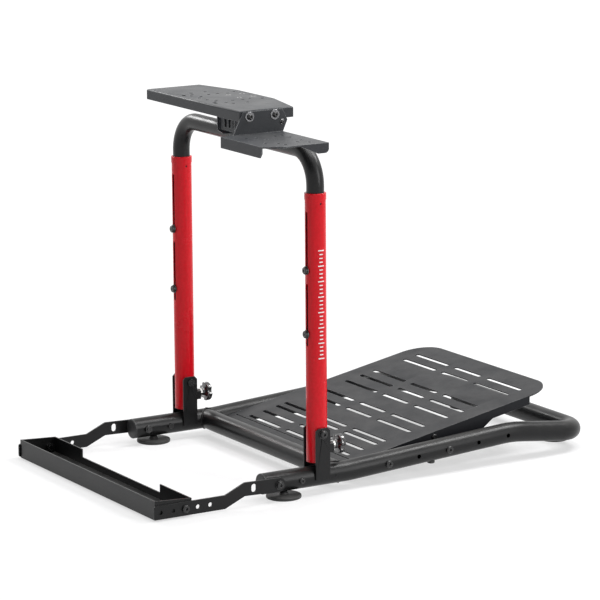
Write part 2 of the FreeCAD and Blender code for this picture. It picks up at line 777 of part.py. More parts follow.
def wheel_plate():
    """Folded sheet that the wheel bolts to."""
    low = plate_z - wheel_flange
    outer = prism(wheel_outline(low, 0.0), V(0, 0, wheel_flange))
    top_edges = [edge for edge in outer.Edges if abs(edge.BoundBox.ZMin - plate_z) < 0.01]
    outer = outer.makeFillet(wheel_bend, top_edges)
    hollow = prism(wheel_outline(low - 1.0, sheet_t), V(0, 0, wheel_flange - sheet_t + 1.0))
    body = outer.cut(hollow)
    # the back edge stays open so that the plate clears the crossbar when it tilts
    body = body.cut(box(-wheel_half, wheel_half, wheel_side_y + 2.0, wheel_back_y + 1.0,
                        low - 1.0, plate_z - sheet_t - 1.5))
    for x, y in wheel_hole_places():
        body = body.cut(Part.makeCylinder(wheel_hole_r, 20.0, V(x, y, plate_z - 10.0)))
    for side in (-1, 1):
        centre = V(side * front_slot[0], front_slot[1], plate_z)
        body = body.cut(slot_cutter(slot_hole_l, 2.0 * wheel_hole_r, 20.0, centre, "XZ"))
        for y in saddle_bolt_y:
            x = side * saddle_bolt_x
            body = body.cut(Part.makeCylinder(m6 / 2.0 + seat_gap, 20.0, V(x, y, plate_z - 10.0)))
            top_r = flat_head_d / 2.0 + flat_sink + seat_gap
            sink = Part.makeCone(top_r - sheet_t, top_r, sheet_t, V(x, y, plate_z - sheet_t))
            body = body.cut(sink)
    for y in shift_bolt:
        start = V(wheel_half - 10.0, y, shift_bolt_z)
        body = body.cut(rod(start, V(wheel_half + 10.0, y, shift_bolt_z), m6 / 2.0 + seat_gap))
    return body


def saddle():
    """Folded bracket that carries the wheel plate on the crossbar."""
    top = plate_z - sheet_t
    floor_z = bar_z + inner_r + saddle_floor_gap
    nose_y, nose_z = saddle_nose
    shoulder = bar_z + nose_z
    cheek = [V(0, saddle_front, top), V(0, saddle_front, shoulder), V(0, saddle_front + nose_y, bar_z),
             V(0, saddle_back - nose_y, bar_z), V(0, saddle_back, shoulder), V(0, saddle_back, top - nose_y),
             V(0, wheel_side_y + nose_y, top)]
    pieces = []
    for x in (-saddle_half, saddle_half - plate_t):
        plate = prism(cheek, V(plate_t, 0, 0))
        plate.translate(V(x, 0, 0))
        pieces.append(plate)
    pieces.append(box(-saddle_half, saddle_half, saddle_front, wheel_side_y + nose_y, top - plate_t, top))
    floor_top = floor_z + plate_t
    pieces.append(box(-saddle_half, saddle_half, saddle_front + 4.0, saddle_back, floor_z, floor_top))
    web_back = saddle_web_y + plate_t
    pieces.append(box(-saddle_half, saddle_half, saddle_web_y, web_back, plate_z - saddle_web_drop, top))
    body = join(pieces)
    end = saddle_half + 1.0
    body = body.cut(rod(V(-end, 0, bar_z), V(end, 0, bar_z), inner_r + moving_gap))
    slot_low = plate_z - saddle_slot_drop[0]
    slot_high = plate_z - saddle_slot_drop[1]
    for x in saddle_slots:
        centre = V(x, saddle_web_y + plate_t / 2.0, (slot_low + slot_high) / 2.0)
        body = body.cut(slot_cutter(slot_high - slot_low, saddle_slot_w, plate_t + 1.0, centre, "ZY"))
    for side in (-1, 1):
        for y in saddle_bolt_y:
            start = V(side * saddle_bolt_x, y, top - 6.0)
            body = body.cut(Part.makeCylinder(m6 / 2.0 + seat_gap, 10.0, start))
        for y in (-strap_bolt_y, strap_bolt_y):
            start = V(side * strap_x, y, floor_z - 2.0)
            body = body.cut(Part.makeCylinder(m6 / 2.0 + seat_gap, plate_t + 4.0, start))
    return body


def strap(side):
    """Half-round clamp strap under the crossbar."""
    x0 = side * strap_x - strap_w / 2.0
    x1 = side * strap_x + strap_w / 2.0
    top = bar_z + inner_r + saddle_floor_gap
    inside = inner_r + moving_gap
    outside = inside + plate_t
    ring = rod(V(x0, 0, bar_z), V(x1, 0, bar_z), outside)
    ring = ring.cut(box(x0 - 1.0, x1 + 1.0, -40.0, 40.0, bar_z, bar_z + 40.0))
    walls = box(x0, x1, -outside, outside, bar_z, top)
    ears = box(x0, x1, -outside - strap_ear, outside + strap_ear, top - plate_t, top)
    body = join([ring, walls, ears])
    body = body.cut(rod(V(x0 - 1.0, 0, bar_z), V(x1 + 1.0, 0, bar_z), inside))
    body = body.cut(box(x0 - 1.0, x1 + 1.0, -inside, inside, bar_z, top + 1.0))
    for y in (-strap_bolt_y, strap_bolt_y):
        start = V(side * strap_x, y, top - plate_t - 1.0)
        body = body.cut(Part.makeCylinder(m6 / 2.0 + seat_gap, plate_t + 2.0, start))
    return body


def strap_bolts():
    """Bolts that pull the straps up against the crossbar, with nuts inside the saddle."""
    solids = []
    low = bar_z + inner_r + saddle_floor_gap - plate_t
    high = low + 2.0 * plate_t
    for side in (-1, 1):
        for y in (-strap_bolt_y, strap_bolt_y):
            x = side * strap_x
            length = 2.0 * plate_t + nut_h + 1.0
            solids.append(bolt(m6, m6_head_d, m6_head_h, 0.0, length, V(x, y, low), V(0, 0, 1)))
            solids.append(nut(m6, nut_af, nut_h, V(x, y, high), V(0, 0, 1)))
    return solids


def saddle_bolts():
    """Bolts that hold the wheel plate on the saddle."""
    solids = []
    for side in (-1, 1):
        for y in saddle_bolt_y:
            x = side * saddle_bolt_x
            length = sheet_t + plate_t + nut_h + 1.0
            seat = V(x, y, plate_z - flat_sink)
            solids.append(flat_screw(m6, flat_head_d, length, seat, V(0, 0, -1)))
            solids.append(nut(m6, nut_af, nut_h, V(x, y, plate_z - sheet_t - plate_t), V(0, 0, -1)))
    return solids


def shifter_side_lip():
    """Flap on the deck's right edge, sloped at its front and rounded at its back."""
    inner = shift_right - sheet_t
    start_y, full_y = shift_side_lip_y
    low = shift_z - shift_side_lip
    flap = prism([V(inner, start_y, shift_z), V(inner, full_y, low), V(inner, shift_back, low),
                  V(inner, shift_back, shift_z)], V(sheet_t, 0, 0))
    corner = [edge for edge in flap.Edges
              if abs(edge.CenterOfMass.y - shift_back) < 0.01 and abs(edge.CenterOfMass.z - low) < 0.01]
    return flap.makeFillet(shift_lip_corner, corner)


def shifter_plate():
    """Side plate for a shifter: an upright wall, a deck and lips on its free edges."""
    top = plate_z - 2.0
    under = shift_z - sheet_t
    back_top, back_mid, mid_drop = shift_wall_back
    mid_z = plate_z - mid_drop
    wall = prism([V(wall_in, shift_wall_front[0], top), V(wall_in, shift_wall_front[1], under),
                  V(wall_in, shift_back, under), V(wall_in, back_mid, mid_z),
                  V(wall_in, back_top, top)], V(sheet_t, 0, 0))
    cut_x, cut_y = shift_chamfer
    deck = prism([V(wall_in, shift_front, under), V(shift_right - cut_x, shift_front, under),
                  V(shift_right, shift_front + cut_y, under), V(shift_right, shift_back, under),
                  V(wall_in, shift_back, under)], V(0, 0, sheet_t))
    lip_end = shift_right - cut_x
    low = shift_z - shift_lip
    lip_cut_x, lip_cut_z = shift_lip_cut
    front_lip = prism([V(wall_in, shift_front, shift_z), V(wall_in, shift_front, low),
                       V(lip_end - lip_cut_x, shift_front, low), V(lip_end, shift_front, low + lip_cut_z),
                       V(lip_end, shift_front, shift_z)], V(0, sheet_t, 0))
    body = join([deck, wall, front_lip, shifter_side_lip()])
    for x0, x1, y0, y1 in (shift_rect_a, shift_rect_b, shift_rect_c):
        for x in (x0, x1):
            for y in (y0, y1):
                hole = Part.makeCylinder(wheel_hole_r, 12.0, V(wheel_half + x, y, shift_z - 6.0))
                body = body.cut(hole)
    for y in shift_bolt:
        body = body.cut(rod(V(wheel_half - 5.0, y, shift_bolt_z), V(wall_out + 5.0, y, shift_bolt_z),
                            m6 / 2.0 + seat_gap))
    y, drop = shift_small_bolt
    z = plate_z - drop
    start = V(wheel_half - 5.0, y, z)
    return body.cut(rod(start, V(wall_out + 5.0, y, z), small_bolt[0] / 2.0 + seat_gap))


def shifter_bolts():
    """Bolts, washers and nuts between the wheel plate's flange and the shifter plate."""
    solids = []
    for y in shift_bolt:
        length = wall_out - wheel_half + sheet_t + nut_h + 1.0
        seat = V(wall_out, y, shift_bolt_z)
        solids.append(bolt(m6, m6_head_d, m6_head_h, m6_washer_d, length, seat, V(-1, 0, 0)))
        inside = V(wheel_half - sheet_t, y, shift_bolt_z)
        solids.append(nut(m6, nut_af, nut_h, inside, V(-1, 0, 0)))
    y, drop = shift_small_bolt
    z = plate_z - drop
    size, head_d, head_h, washer_d = small_bolt
    flats, height = small_nut
    length = sheet_t + height + 1.0
    solids.append(bolt(size, head_d, head_h, washer_d, length, V(wall_out, y, z), V(-1, 0, 0)))
    solids.append(nut(size, flats, height, V(wall_in, y, z), V(-1, 0, 0)))
    return solids


# ---------------------------------------------------------------------------
# Chair stop
# ---------------------------------------------------------------------------
def arm_section():
    """Side view of a chair-stop arm: a flat bar with a joggle and a round rear end."""
    up = arm_h / 2.0
    low_end, high_end = arm_drop_y[1], arm_drop_y[0]
    points = [V(0, arm_pivot_y, rail_z + up), V(0, high_end, arm_high_z + up), V(0, low_end, arm_low_z + up),
              V(0, arm_end_y, arm_low_z + up), V(0, arm_end_y, arm_low_z - up),
              V(0, low_end, arm_low_z - up),
              V(0, high_end, arm_high_z - up), V(0, arm_pivot_y, rail_z - up)]
    bar = prism(points, V(plate_t, 0, 0))
    corners = [edge for edge in bar.Edges
               if abs(edge.BoundBox.YMax - arm_end_y) < 0.01 and edge.BoundBox.XLength > plate_t / 2.0]
    bar = bar.makeFillet(arm_corner, corners)
    rear = rod(V(0, arm_pivot_y, rail_z), V(plate_t, arm_pivot_y, rail_z), up)
    return join([bar, rear])


def arm():
    """Right arm of the chair stop."""
    body = arm_section()
    across = V(plate_t + 2.0, 0, 0)
    pivot = V(-1.0, arm_pivot_y, rail_z)
    body = body.cut(rod(pivot, pivot.add(across), m8 / 2.0 + pin_gap))
    for row in range(arm_holes):
        start = V(-1.0, arm_hole_y - row * arm_hole_pitch, arm_low_z)
        body = body.cut(rod(start, start.add(across), m8 / 2.0 + seat_gap))
    y, width, height = arm_oval
    body = body.cut(slot_cutter(height, width, 3.0 * plate_t, V(0, y, arm_high_z), "ZX"))
    body.translate(V(arm_in, 0, 0))
    return body


def channel():
    """Folded channel that the chair's castors stand in."""
    outer = arm_in - 0.1
    front = box(-outer, outer, chan_front_y, chan_front_y + chan_t, chan_z, chan_z + chan_h)
    floor = box(-outer, outer, chan_front_y, chan_back_y, chan_z, chan_z + chan_t)
    back = box(-outer, outer, chan_back_y - chan_t, chan_back_y, chan_z, chan_z + chan_low_h)
    pieces = [front, floor, back]
    for side in (-1, 1):
        x0 = outer - chan_t if side > 0 else -outer
        end = prism([V(x0, chan_front_y, chan_z), V(x0, chan_back_y, chan_z),
                     V(x0, chan_back_y, chan_z + chan_tab_h), V(x0, chan_front_y, chan_z + chan_h)],
                    V(chan_t, 0, 0))
        tab_x = outer - chan_tab if side > 0 else -outer
        tab = box(tab_x, tab_x + chan_tab, chan_back_y - chan_t, chan_back_y, chan_z, chan_z + chan_tab_h)
        pieces.extend([end, tab])
    body = join(pieces)
    y = arm_hole_y - arm_bolt_row * arm_hole_pitch
    return body.cut(rod(V(-arm_out, y, arm_low_z), V(arm_out, y, arm_low_z), m8 / 2.0 + seat_gap))


def channel_bolts():
    """Bolts that hold the channel between the arms."""
    solids = []
    y = arm_hole_y - arm_bolt_row * arm_hole_pitch
    for side in (-1, 1):
        inward = V(-side, 0, 0)
        length = plate_t + 0.1 + chan_t + nut_h + 1.0
        head = V(side * arm_out, y, arm_low_z)
        solids.append(bolt(m8, m8_head_d, m8_head_h, 0.0, length, head, inward))
        inside = V(side * (arm_in - 0.1 - chan_t), y, arm_low_z)
        solids.append(nut(m8, m8_nut_af, nut_h, inside, inward))
    return solids


def arm_pivot_bolts():
    """Bolts through the rails that the chair stop folds on."""
    solids = []
    for side in (-1, 1):
        inward = V(-side, 0, 0)
        seat = V(side * (arm_out + moving_gap), arm_pivot_y, rail_z)
        length = arm_out + moving_gap - half + tube_r + nut_h + 2.0
        solids.append(bolt(m8, m8_head_d, m8_head_h, m8_washer_d, length, seat, inward))
        inside = V(side * (half - tube_r), arm_pivot_y, rail_z)
        solids.append(nut(m8, m8_nut_af, nut_h, inside, inward))
    return solids


# ---------------------------------------------------------------------------
# Build every node
# ---------------------------------------------------------------------------
for prefix, direction in (("left_", -1), ("right_", 1)):
    save(prefix + "rail", [rail(direction)])
    save(prefix + "clevis", [clevis(direction)])
    save(prefix + "foot", [screw_foot(direction)])
    save(prefix + "knob", [knob(direction)])
    save(prefix + "mast_tube", [mast_tube(direction)])
    save(prefix + "mast_collar", [mast_collar(direction)])
    save(prefix + "clamp_strap", [strap(direction)])

save("rail_end_caps", [rail_cap(-1), rail_cap(1)])
save("rear_bow", [rear_bow()])
save("bow_spigots", [bow_spigot(-1), bow_spigot(1)])
save("front_cross_tube", [front_cross_tube()])
save("mast_pivot_bolts", pivot_bolts())
save("stub_screws", stub_screws())
save("pedal_plate", [pedal_plate()])
save("pedal_bolts", pedal_bolts() + web_bolts())
save("pedal_spacers", pedal_spacers())
save("rear_pads", [rear_pad(-1), rear_pad(1)])
save("rail_bumpers", [bumper(-1), bumper(1)])
save("guide_sleeves", [guide_sleeve(-1), guide_sleeve(1)])
save("mast_plugs", [mast_plug(-1), mast_plug(1)])
save("u_tube", [u_tube()])
save("leg_bushes", [leg_bush(-1), leg_bush(1)])
save("slot_bolts", slot_bolts())
save("wheel_plate", [wheel_plate()])
save("saddle_bracket", [saddle()])
save("strap_bolts", strap_bolts())
save("saddle_bolts", saddle_bolts())
save("shifter_plate", [shifter_plate()])
save("shifter_bolts", shifter_bolts())
save("right_arm", [arm()])
save("left_arm", [mirrored(arm())])
save("wheel_channel", [channel()])
save("channel_bolts", channel_bolts())
save("arm_pivot_bolts", arm_pivot_bolts())
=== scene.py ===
"""Visual model of a folding stand for a racing wheel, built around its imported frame.

The stand is a welded tube base with a slotted pedal plate, two red uprights that fold on
brackets, a height-adjusting hoop, a tilting deck for the wheel and shifter, and a channel
in front that a wheeled chair stands in.
"""

import json
import logging
import math
from dataclasses import dataclass, field, replace
from enum import Enum
from typing import Callable, Iterable, Optional, Sequence

import bpy
from mathutils import Matrix, Vector

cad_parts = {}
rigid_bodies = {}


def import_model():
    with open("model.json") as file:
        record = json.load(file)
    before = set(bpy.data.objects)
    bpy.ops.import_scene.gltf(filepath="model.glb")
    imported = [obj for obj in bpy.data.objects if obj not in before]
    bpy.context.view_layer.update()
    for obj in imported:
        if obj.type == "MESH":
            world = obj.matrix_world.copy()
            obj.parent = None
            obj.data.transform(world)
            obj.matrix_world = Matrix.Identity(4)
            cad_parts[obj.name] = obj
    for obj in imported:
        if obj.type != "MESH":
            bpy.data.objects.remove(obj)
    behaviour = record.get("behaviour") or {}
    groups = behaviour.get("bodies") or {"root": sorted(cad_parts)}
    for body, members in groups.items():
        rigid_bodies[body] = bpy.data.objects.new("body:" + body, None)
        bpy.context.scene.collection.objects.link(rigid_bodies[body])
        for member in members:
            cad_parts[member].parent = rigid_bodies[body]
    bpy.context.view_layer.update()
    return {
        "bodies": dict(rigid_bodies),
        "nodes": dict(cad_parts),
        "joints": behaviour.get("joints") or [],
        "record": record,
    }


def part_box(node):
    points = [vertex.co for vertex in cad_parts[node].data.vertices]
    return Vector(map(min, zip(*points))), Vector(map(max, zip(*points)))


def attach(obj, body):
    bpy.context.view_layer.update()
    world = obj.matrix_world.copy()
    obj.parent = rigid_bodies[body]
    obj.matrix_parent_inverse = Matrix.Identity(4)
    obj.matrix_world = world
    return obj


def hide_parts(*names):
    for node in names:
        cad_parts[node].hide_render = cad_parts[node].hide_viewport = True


LOG = logging.getLogger("stand")
MM = 0.001

CREASE = 35.0
JOINED_CREASE = 38.0
THREAD_CREASE = 60.0
BEAD_CREASE = 80.0
MEETING = 0.002 * MM
BEVEL_ANGLE = 42.0
BEVEL_SEGMENTS = 2
HEAD_SIDES = 72
NUT_SIDES = 48
THREAD_SIDES = 24
BEAD_SIDES = 10

Colour = tuple[float, float, float]
Point = tuple[float, float, float]
Face = tuple[int, ...]
Piece = bpy.types.Object
Node = bpy.types.Node
Tree = bpy.types.NodeTree
Socket = bpy.types.NodeSocket

ALONG_X: Point = (1.0, 0.0, 0.0)
ALONG_Y: Point = (0.0, 1.0, 0.0)
ALONG_Z: Point = (0.0, 0.0, 1.0)
M8_THREAD = (4.0 * MM, 0.5 * MM, 1.25 * MM)

DUST_COLOUR: Colour = (0.42, 0.41, 0.39)
DUST_ROUGH = 0.3
RUBBED_ROUGH = -0.12
WHITE: Colour = (1.0, 1.0, 1.0)


class Side(Enum):
    """The two sides of the stand, as the driver sits in it."""

    LEFT = "left"
    RIGHT = "right"

    @property
    def sign(self) -> float:
        """-1 on the left, 1 on the right."""
        return 1.0 if self is Side.RIGHT else -1.0


class Body(Enum):
    """The moving groups of the frame."""

    BASE = "base"
    MAST = "mast"
    LIFT = "lift"
    DECK = "wheel_deck"
    CHAIR_STOP = "chair_stop"


class Slot(Enum):
    """Finish slots of the record."""

    FRAME = "frame_black"
    PLATE = "plate_grey"
    MAST = "mast_red"
    FASTENER = "fastener_black"
    STEEL = "bare_steel"
    CAP = "cap_plastic"
    KNOB = "knob_plastic"
    RUBBER = "foot_rubber"


# --- Node graphs ---


class Graph:
    """Short hand for wiring shader nodes in one tree."""

    def __init__(self, tree: Tree) -> None:
        """Start on an empty tree.

        Args:
            tree: The node tree that the nodes go in.
        """
        self.tree = tree
        self.tree.nodes.clear()

    def add(self, kind: str, **settings: object) -> Node:
        """Add a node.

        Args:
            kind: The node's type name without its ShaderNode prefix.
            **settings: Properties to set on the node.

        Returns:
            The new node.
        """
        prefix = "" if kind.startswith("Node") else "ShaderNode"
        node = self.tree.nodes.new(prefix + kind)
        for key, value in settings.items():
            setattr(node, key, value)
        return node

    def feed(self, socket: Socket, value: object) -> None:
        """Link a socket's source, or set its number when there is none.

        Args:
            socket: The input to fill.
            value: An output socket, a number, a colour or a vector.
        """
        if isinstance(value, Socket):
            self.tree.links.new(value, socket)
        elif isinstance(value, tuple) and len(value) == 3 and socket.type == "RGBA":
            socket.default_value = (*value, 1.0)
        else:
            socket.default_value = value

    def fill(self, node: Node, **inputs: object) -> None:
        """Feed several of a node's inputs.

        Args:
            node: The node.
            **inputs: What each input gets, by name, with underscores for spaces.
        """
        for key, value in inputs.items():
            self.feed(node.inputs[key.replace("_", " ")], value)

    def math(self, operation: str, *values: object, clamp: bool = False) -> Socket:
        """Work out a number.

        Args:
            operation: Name of the Math node's operation.
            *values: Its inputs, as sockets or numbers.
            clamp: Whether the result is held between 0 and 1.

        Returns:
            The result's socket.
        """
        node = self.add("Math", operation=operation, use_clamp=clamp)
        for index, value in enumerate(values):
            self.feed(node.inputs[index], value)
        return node.outputs[0]

    def span(
        self, value: object, low: float, high: float, to: tuple[float, float] = (0.0, 1.0)
    ) -> Socket:
        """Map a range of values onto another, held at its ends.

        Args:
            value: The value to map.
            low: Where the result is to[0].
            high: Where the result is to[1].
            to: The two ends of the result.

        Returns:
            The mapped value's socket.
        """
        node = self.add("MapRange", clamp=True)
        self.fill(node, Value=value, From_Min=low, From_Max=high, To_Min=to[0], To_Max=to[1])
        return node.outputs["Result"]

    def mix(self, factor: object, first: object, second: object) -> Socket:
        """Mix two colours.

        Args:
            factor: 0 for the first, 1 for the second.
            first: The colour at 0.
            second: The colour at 1.

        Returns:
            The mixed colour's socket.
        """
        node = self.add("Mix", data_type="RGBA")
        self.feed(node.inputs[0], factor)
        self.feed(node.inputs[6], first)
        self.feed(node.inputs[7], second)
        return node.outputs[2]

    def blend(self, factor: object, first: Socket, second: Socket) -> Socket:
        """Mix two shaders.

        Args:
            factor: 0 for the first, 1 for the second.
            first: The shader at 0.
            second: The shader at 1.

        Returns:
            The mixed shader's socket.
        """
        node = self.add("MixShader")
        for index, value in enumerate((factor, first, second)):
            self.feed(node.inputs[index], value)
        return node.outputs[0]

    def noise(self, where: object, scale: object, detail: float = 2.0, rough: float = 0.5) -> Socket:
        """Smooth noise.

        Args:
            where: The place that it is read at.
            scale: Features for each metre.
            detail: Number of finer layers.
            rough: Strength of the finer layers.

        Returns:
            The noise value's socket.
        """
        node = self.add("TexNoise")
        self.fill(node, Vector=where, Scale=scale, Detail=detail, Roughness=rough)
        return node.outputs["Fac"]

    def density(self, size: object) -> Socket:
        """Features for each metre.

        Args:
            size: Size of one feature, as a socket or in metres.

        Returns:
            The density's socket.
        """
        return self.math("DIVIDE", 1.0, size)

    def local(self) -> Socket:
        """Place on the object, in the object's own frame."""
        return self.add("TexCoord").outputs["Object"]

    def group(self, tree: Tree, **inputs: object) -> Node:
        """Place a node group.

        Args:
            tree: The group's tree.
            **inputs: Its inputs by name, with underscores for spaces.

        Returns:
            The group node.
        """
        node = self.add("Group", node_tree=tree)
        self.fill(node, **inputs)
        return node


class Effects:
    """Surface effects that several finishes share, each built once as a node group."""

    def __init__(self) -> None:
        """Build every group."""
        self.grain = self._grain()
        self.edge_wear_and_highlight = self._edge_wear_and_highlight()
        self.handling = self._handling()
        self.dust = self._dust()
        self.tooling = self._tooling()

    @staticmethod
    def _start(
        name: str, inputs: dict[str, float], outputs: Iterable[str]
    ) -> tuple[Graph, bpy.types.NodeOutputs, Node]:
        """Open a new group.

        Args:
            name: The group's name.
            inputs: Its inputs and their first values.
            outputs: Its outputs, all plain values.

        Returns:
            The graph, the sockets of its inputs and its output node.
        """
        tree = bpy.data.node_groups.new(name, "ShaderNodeTree")
        for key, value in inputs.items():
            socket = tree.interface.new_socket(name=key, in_out="INPUT", socket_type="NodeSocketFloat")
            socket.default_value = value
        for key in outputs:
            tree.interface.new_socket(name=key, in_out="OUTPUT", socket_type="NodeSocketFloat")
        graph = Graph(tree)
        return graph, graph.add("NodeGroupInput").outputs, graph.add("NodeGroupOutput")

    def _grain(self) -> Tree:
        """Pebbled skin of baked paint or moulded plastic: a height and a tint."""
        graph, given, out = self._start(
            "surface_grain", {"Size": 0.001, "Sharpness": 0.5}, ("Height", "Tint")
        )
        place = graph.local()
        scale = graph.density(given["Size"])
        cells = graph.add("TexVoronoi", feature="SMOOTH_F1")
        graph.fill(cells, Vector=place, Scale=scale)
        bumps = graph.span(cells.outputs["Distance"], 0.0, 0.75, (1.0, 0.0))
        soft = graph.noise(place, graph.math("MULTIPLY", scale, 0.6), 3.0)
        height = graph.add("Mix", data_type="FLOAT")
        graph.feed(height.inputs[0], given["Sharpness"])
        graph.feed(height.inputs[2], soft)
        graph.feed(height.inputs[3], bumps)
        graph.fill(out, Height=height.outputs[0], Tint=graph.span(soft, 0.35, 0.65))
        return graph.tree

    def _edge_wear_and_highlight(self) -> Tree:
        """Mask of corners and folds where paint is rubbed thin; on some finishes the same mask carries a
        painted highlight along folds and rims.
        """
        graph, given, out = self._start(
            "edge_wear_and_highlight", {"Radius": 0.0008, "Amount": 0.5, "Patch Size": 0.02}, ("Mask",)
        )
        bevel = graph.add("Bevel", samples=6)
        graph.feed(bevel.inputs["Radius"], given["Radius"])
        facing = graph.add("VectorMath", operation="DOT_PRODUCT")
        graph.feed(facing.inputs[0], bevel.outputs["Normal"])
        graph.feed(facing.inputs[1], graph.add("NewGeometry").outputs["Normal"])
        bend = graph.span(facing.outputs["Value"], 0.995, 0.80)
        place = graph.local()
        patches = graph.noise(place, graph.density(given["Patch Size"]), 4.0, 0.6)
        broken = graph.span(patches, 0.30, 0.62)
        worn_and_highlit = graph.math("MULTIPLY", bend, broken)
        graph.fill(out, Mask=graph.math("MULTIPLY", worn_and_highlit, given["Amount"], clamp=True))
        return graph.tree

    def _handling(self) -> Tree:
        """Roughness that wanders between two values, as a handled surface has."""
        graph, given, out = self._start(
            "handling_marks", {"Low": 0.35, "High": 0.5, "Patch Size": 0.05}, ("Roughness",)
        )
        place = graph.local()
        scale = graph.density(given["Patch Size"])
        broad = graph.noise(place, scale, 3.0, 0.55)
        fine = graph.noise(place, graph.math("MULTIPLY", scale, 14.0), 2.0)
        blend = graph.math("ADD", graph.math("MULTIPLY", broad, 0.75), graph.math("MULTIPLY", fine, 0.25))
        share = graph.span(blend, 0.36, 0.64)
        reach = graph.math("SUBTRACT", given["High"], given["Low"])
        graph.fill(out, Roughness=graph.math("MULTIPLY_ADD", share, reach, given["Low"]))
        return graph.tree

    def _dust(self) -> Tree:
        """Mask of fine dust that settles on faces that look up."""
        graph, given, out = self._start("settled_dust", {"Amount": 0.2, "Patch Size": 0.06}, ("Mask",))
        coordinates = graph.add("TexCoord")
        parts = graph.add("SeparateXYZ")
        graph.feed(parts.inputs[0], coordinates.outputs["Normal"])
        up = graph.span(parts.outputs["Z"], 0.35, 0.95)
        place = coordinates.outputs["Object"]
        cloud = graph.noise(place, graph.density(given["Patch Size"]), 5.0, 0.6)
        specks = graph.noise(place, 900.0, 1.0)
        speckle = graph.span(specks, 0.3, 0.7, (0.5, 1.0))
        patchy = graph.math("MULTIPLY", graph.span(cloud, 0.35, 0.75), speckle)
        fall = graph.math("MULTIPLY", up, patchy)
        graph.fill(out, Mask=graph.math("MULTIPLY", fall, given["Amount"], clamp=True))
        return graph.tree

    def _tooling(self) -> Tree:
        """Fine drawn lines along the part's height, as on plated or turned steel."""
        graph, given, out = self._start(
            "tool_lines", {"Line Size": 0.0003, "Stretch": 20.0}, ("Height", "Tint")
        )
        parts = graph.add("SeparateXYZ")
        graph.feed(parts.inputs[0], graph.local())
        joined = graph.add("CombineXYZ")
        graph.feed(joined.inputs[0], graph.math("DIVIDE", parts.outputs["X"], given["Stretch"]))
        graph.feed(joined.inputs[1], parts.outputs["Y"])
        graph.feed(joined.inputs[2], parts.outputs["Z"])
        lines = graph.noise(joined.outputs[0], graph.density(given["Line Size"]), 3.0, 0.6)
        graph.fill(out, Height=lines, Tint=graph.span(lines, 0.35, 0.65))
        return graph.tree


# --- Finishes ---


def grey(level: float) -> Colour:
    """Colour with one level in all three channels."""
    return (level, level, level)


@dataclass(frozen=True)
class WearAndHighlight:
    """How rubbed and dusty a finish is, and how strong the painted edge highlight is that shares the
    rubbed-edge mask.
    """

    radius: float = 0.7 * MM
    amount: float = 0.5
    patch: float = 18.0 * MM
    dust: float = 0.1


@dataclass(frozen=True)
class Finish:
    """A surface finish, and the material made from it."""

    name: str
    slot: Slot
    colour: Colour
    deep: Colour
    worn_and_highlit: Colour
    rough: tuple[float, float] = (0.35, 0.5)
    grain: float = 1.0 * MM
    sharp: float = 0.5
    relief: float = 0.05 * MM
    strength: float = 0.3
    metallic: float = 0.0
    specular: float = 0.5
    coat: float = 0.0
    coat_rough: float = 0.1
    sheen: float = 0.0
    lines: float = 0.0
    wear_and_highlight: WearAndHighlight = field(default_factory=WearAndHighlight)

    def material(self, effects: Effects) -> bpy.types.Material:
        """Build the finish as a node material.

        Args:
            effects: The shared surface effects.

        Returns:
            The material.
        """
        made = bpy.data.materials.new(self.name)
        made.use_nodes = True
        graph = Graph(made.node_tree)
        shader = graph.add("BsdfPrincipled")
        grain = graph.group(effects.grain, Size=self.grain, Sharpness=self.sharp)
        edges = graph.group(
            effects.edge_wear_and_highlight,
            Radius=self.wear_and_highlight.radius,
            Amount=self.wear_and_highlight.amount,
            Patch_Size=self.wear_and_highlight.patch,
        )
        dust = graph.group(effects.dust, Amount=self.wear_and_highlight.dust)
        marks = graph.group(effects.handling, Low=self.rough[0], High=self.rough[1])
        height = grain.outputs["Height"]
        tint = grain.outputs["Tint"]
        if self.lines > 0.0:
            drawn = graph.group(effects.tooling, Line_Size=self.lines)
            height = graph.math("ADD", graph.math("MULTIPLY", height, 0.3), drawn.outputs["Height"])
            tint = drawn.outputs["Tint"]
        colour = graph.mix(tint, self.deep, self.colour)
        # Edges take the edge colour: rubbed paint on most finishes, a painted highlight along folds and rims
        # on the plate paints and fasteners.
        colour = graph.mix(edges.outputs["Mask"], colour, self.worn_and_highlit)
        colour = graph.mix(dust.outputs["Mask"], colour, DUST_COLOUR)
        rubbed = graph.math("MULTIPLY", edges.outputs["Mask"], RUBBED_ROUGH)
        powdery = graph.math("MULTIPLY", dust.outputs["Mask"], DUST_ROUGH)
        rough = graph.math("ADD", marks.outputs["Roughness"], rubbed)
        rough = graph.math("ADD", rough, powdery, clamp=True)
        graph.fill(shader, Base_Color=colour, Roughness=rough)
        bump = graph.add("Bump")
        graph.fill(bump, Strength=self.strength, Distance=self.relief, Height=height)
        graph.fill(
            shader,
            Normal=bump.outputs["Normal"],
            Metallic=self.metallic,
            Specular_IOR_Level=self.specular,
            Coat_Weight=self.coat,
            Coat_Roughness=self.coat_rough,
            Sheen_Weight=self.sheen,
        )
        graph.fill(graph.add("OutputMaterial"), Surface=shader.outputs["BSDF"])
        return made


FRAME_PAINT = Finish(
    name="satin_black_powder_coat",
    slot=Slot.FRAME,
    colour=(0.0105, 0.0106, 0.0110),
    deep=(0.0065, 0.0066, 0.0070),
    worn_and_highlit=(0.075, 0.076, 0.078),
    rough=(0.28, 0.36),
    specular=0.24,
    grain=1.1 * MM,
    sharp=0.55,
    relief=0.06 * MM,
    strength=0.35,
    wear_and_highlight=WearAndHighlight(radius=0.8 * MM, amount=0.55),
)
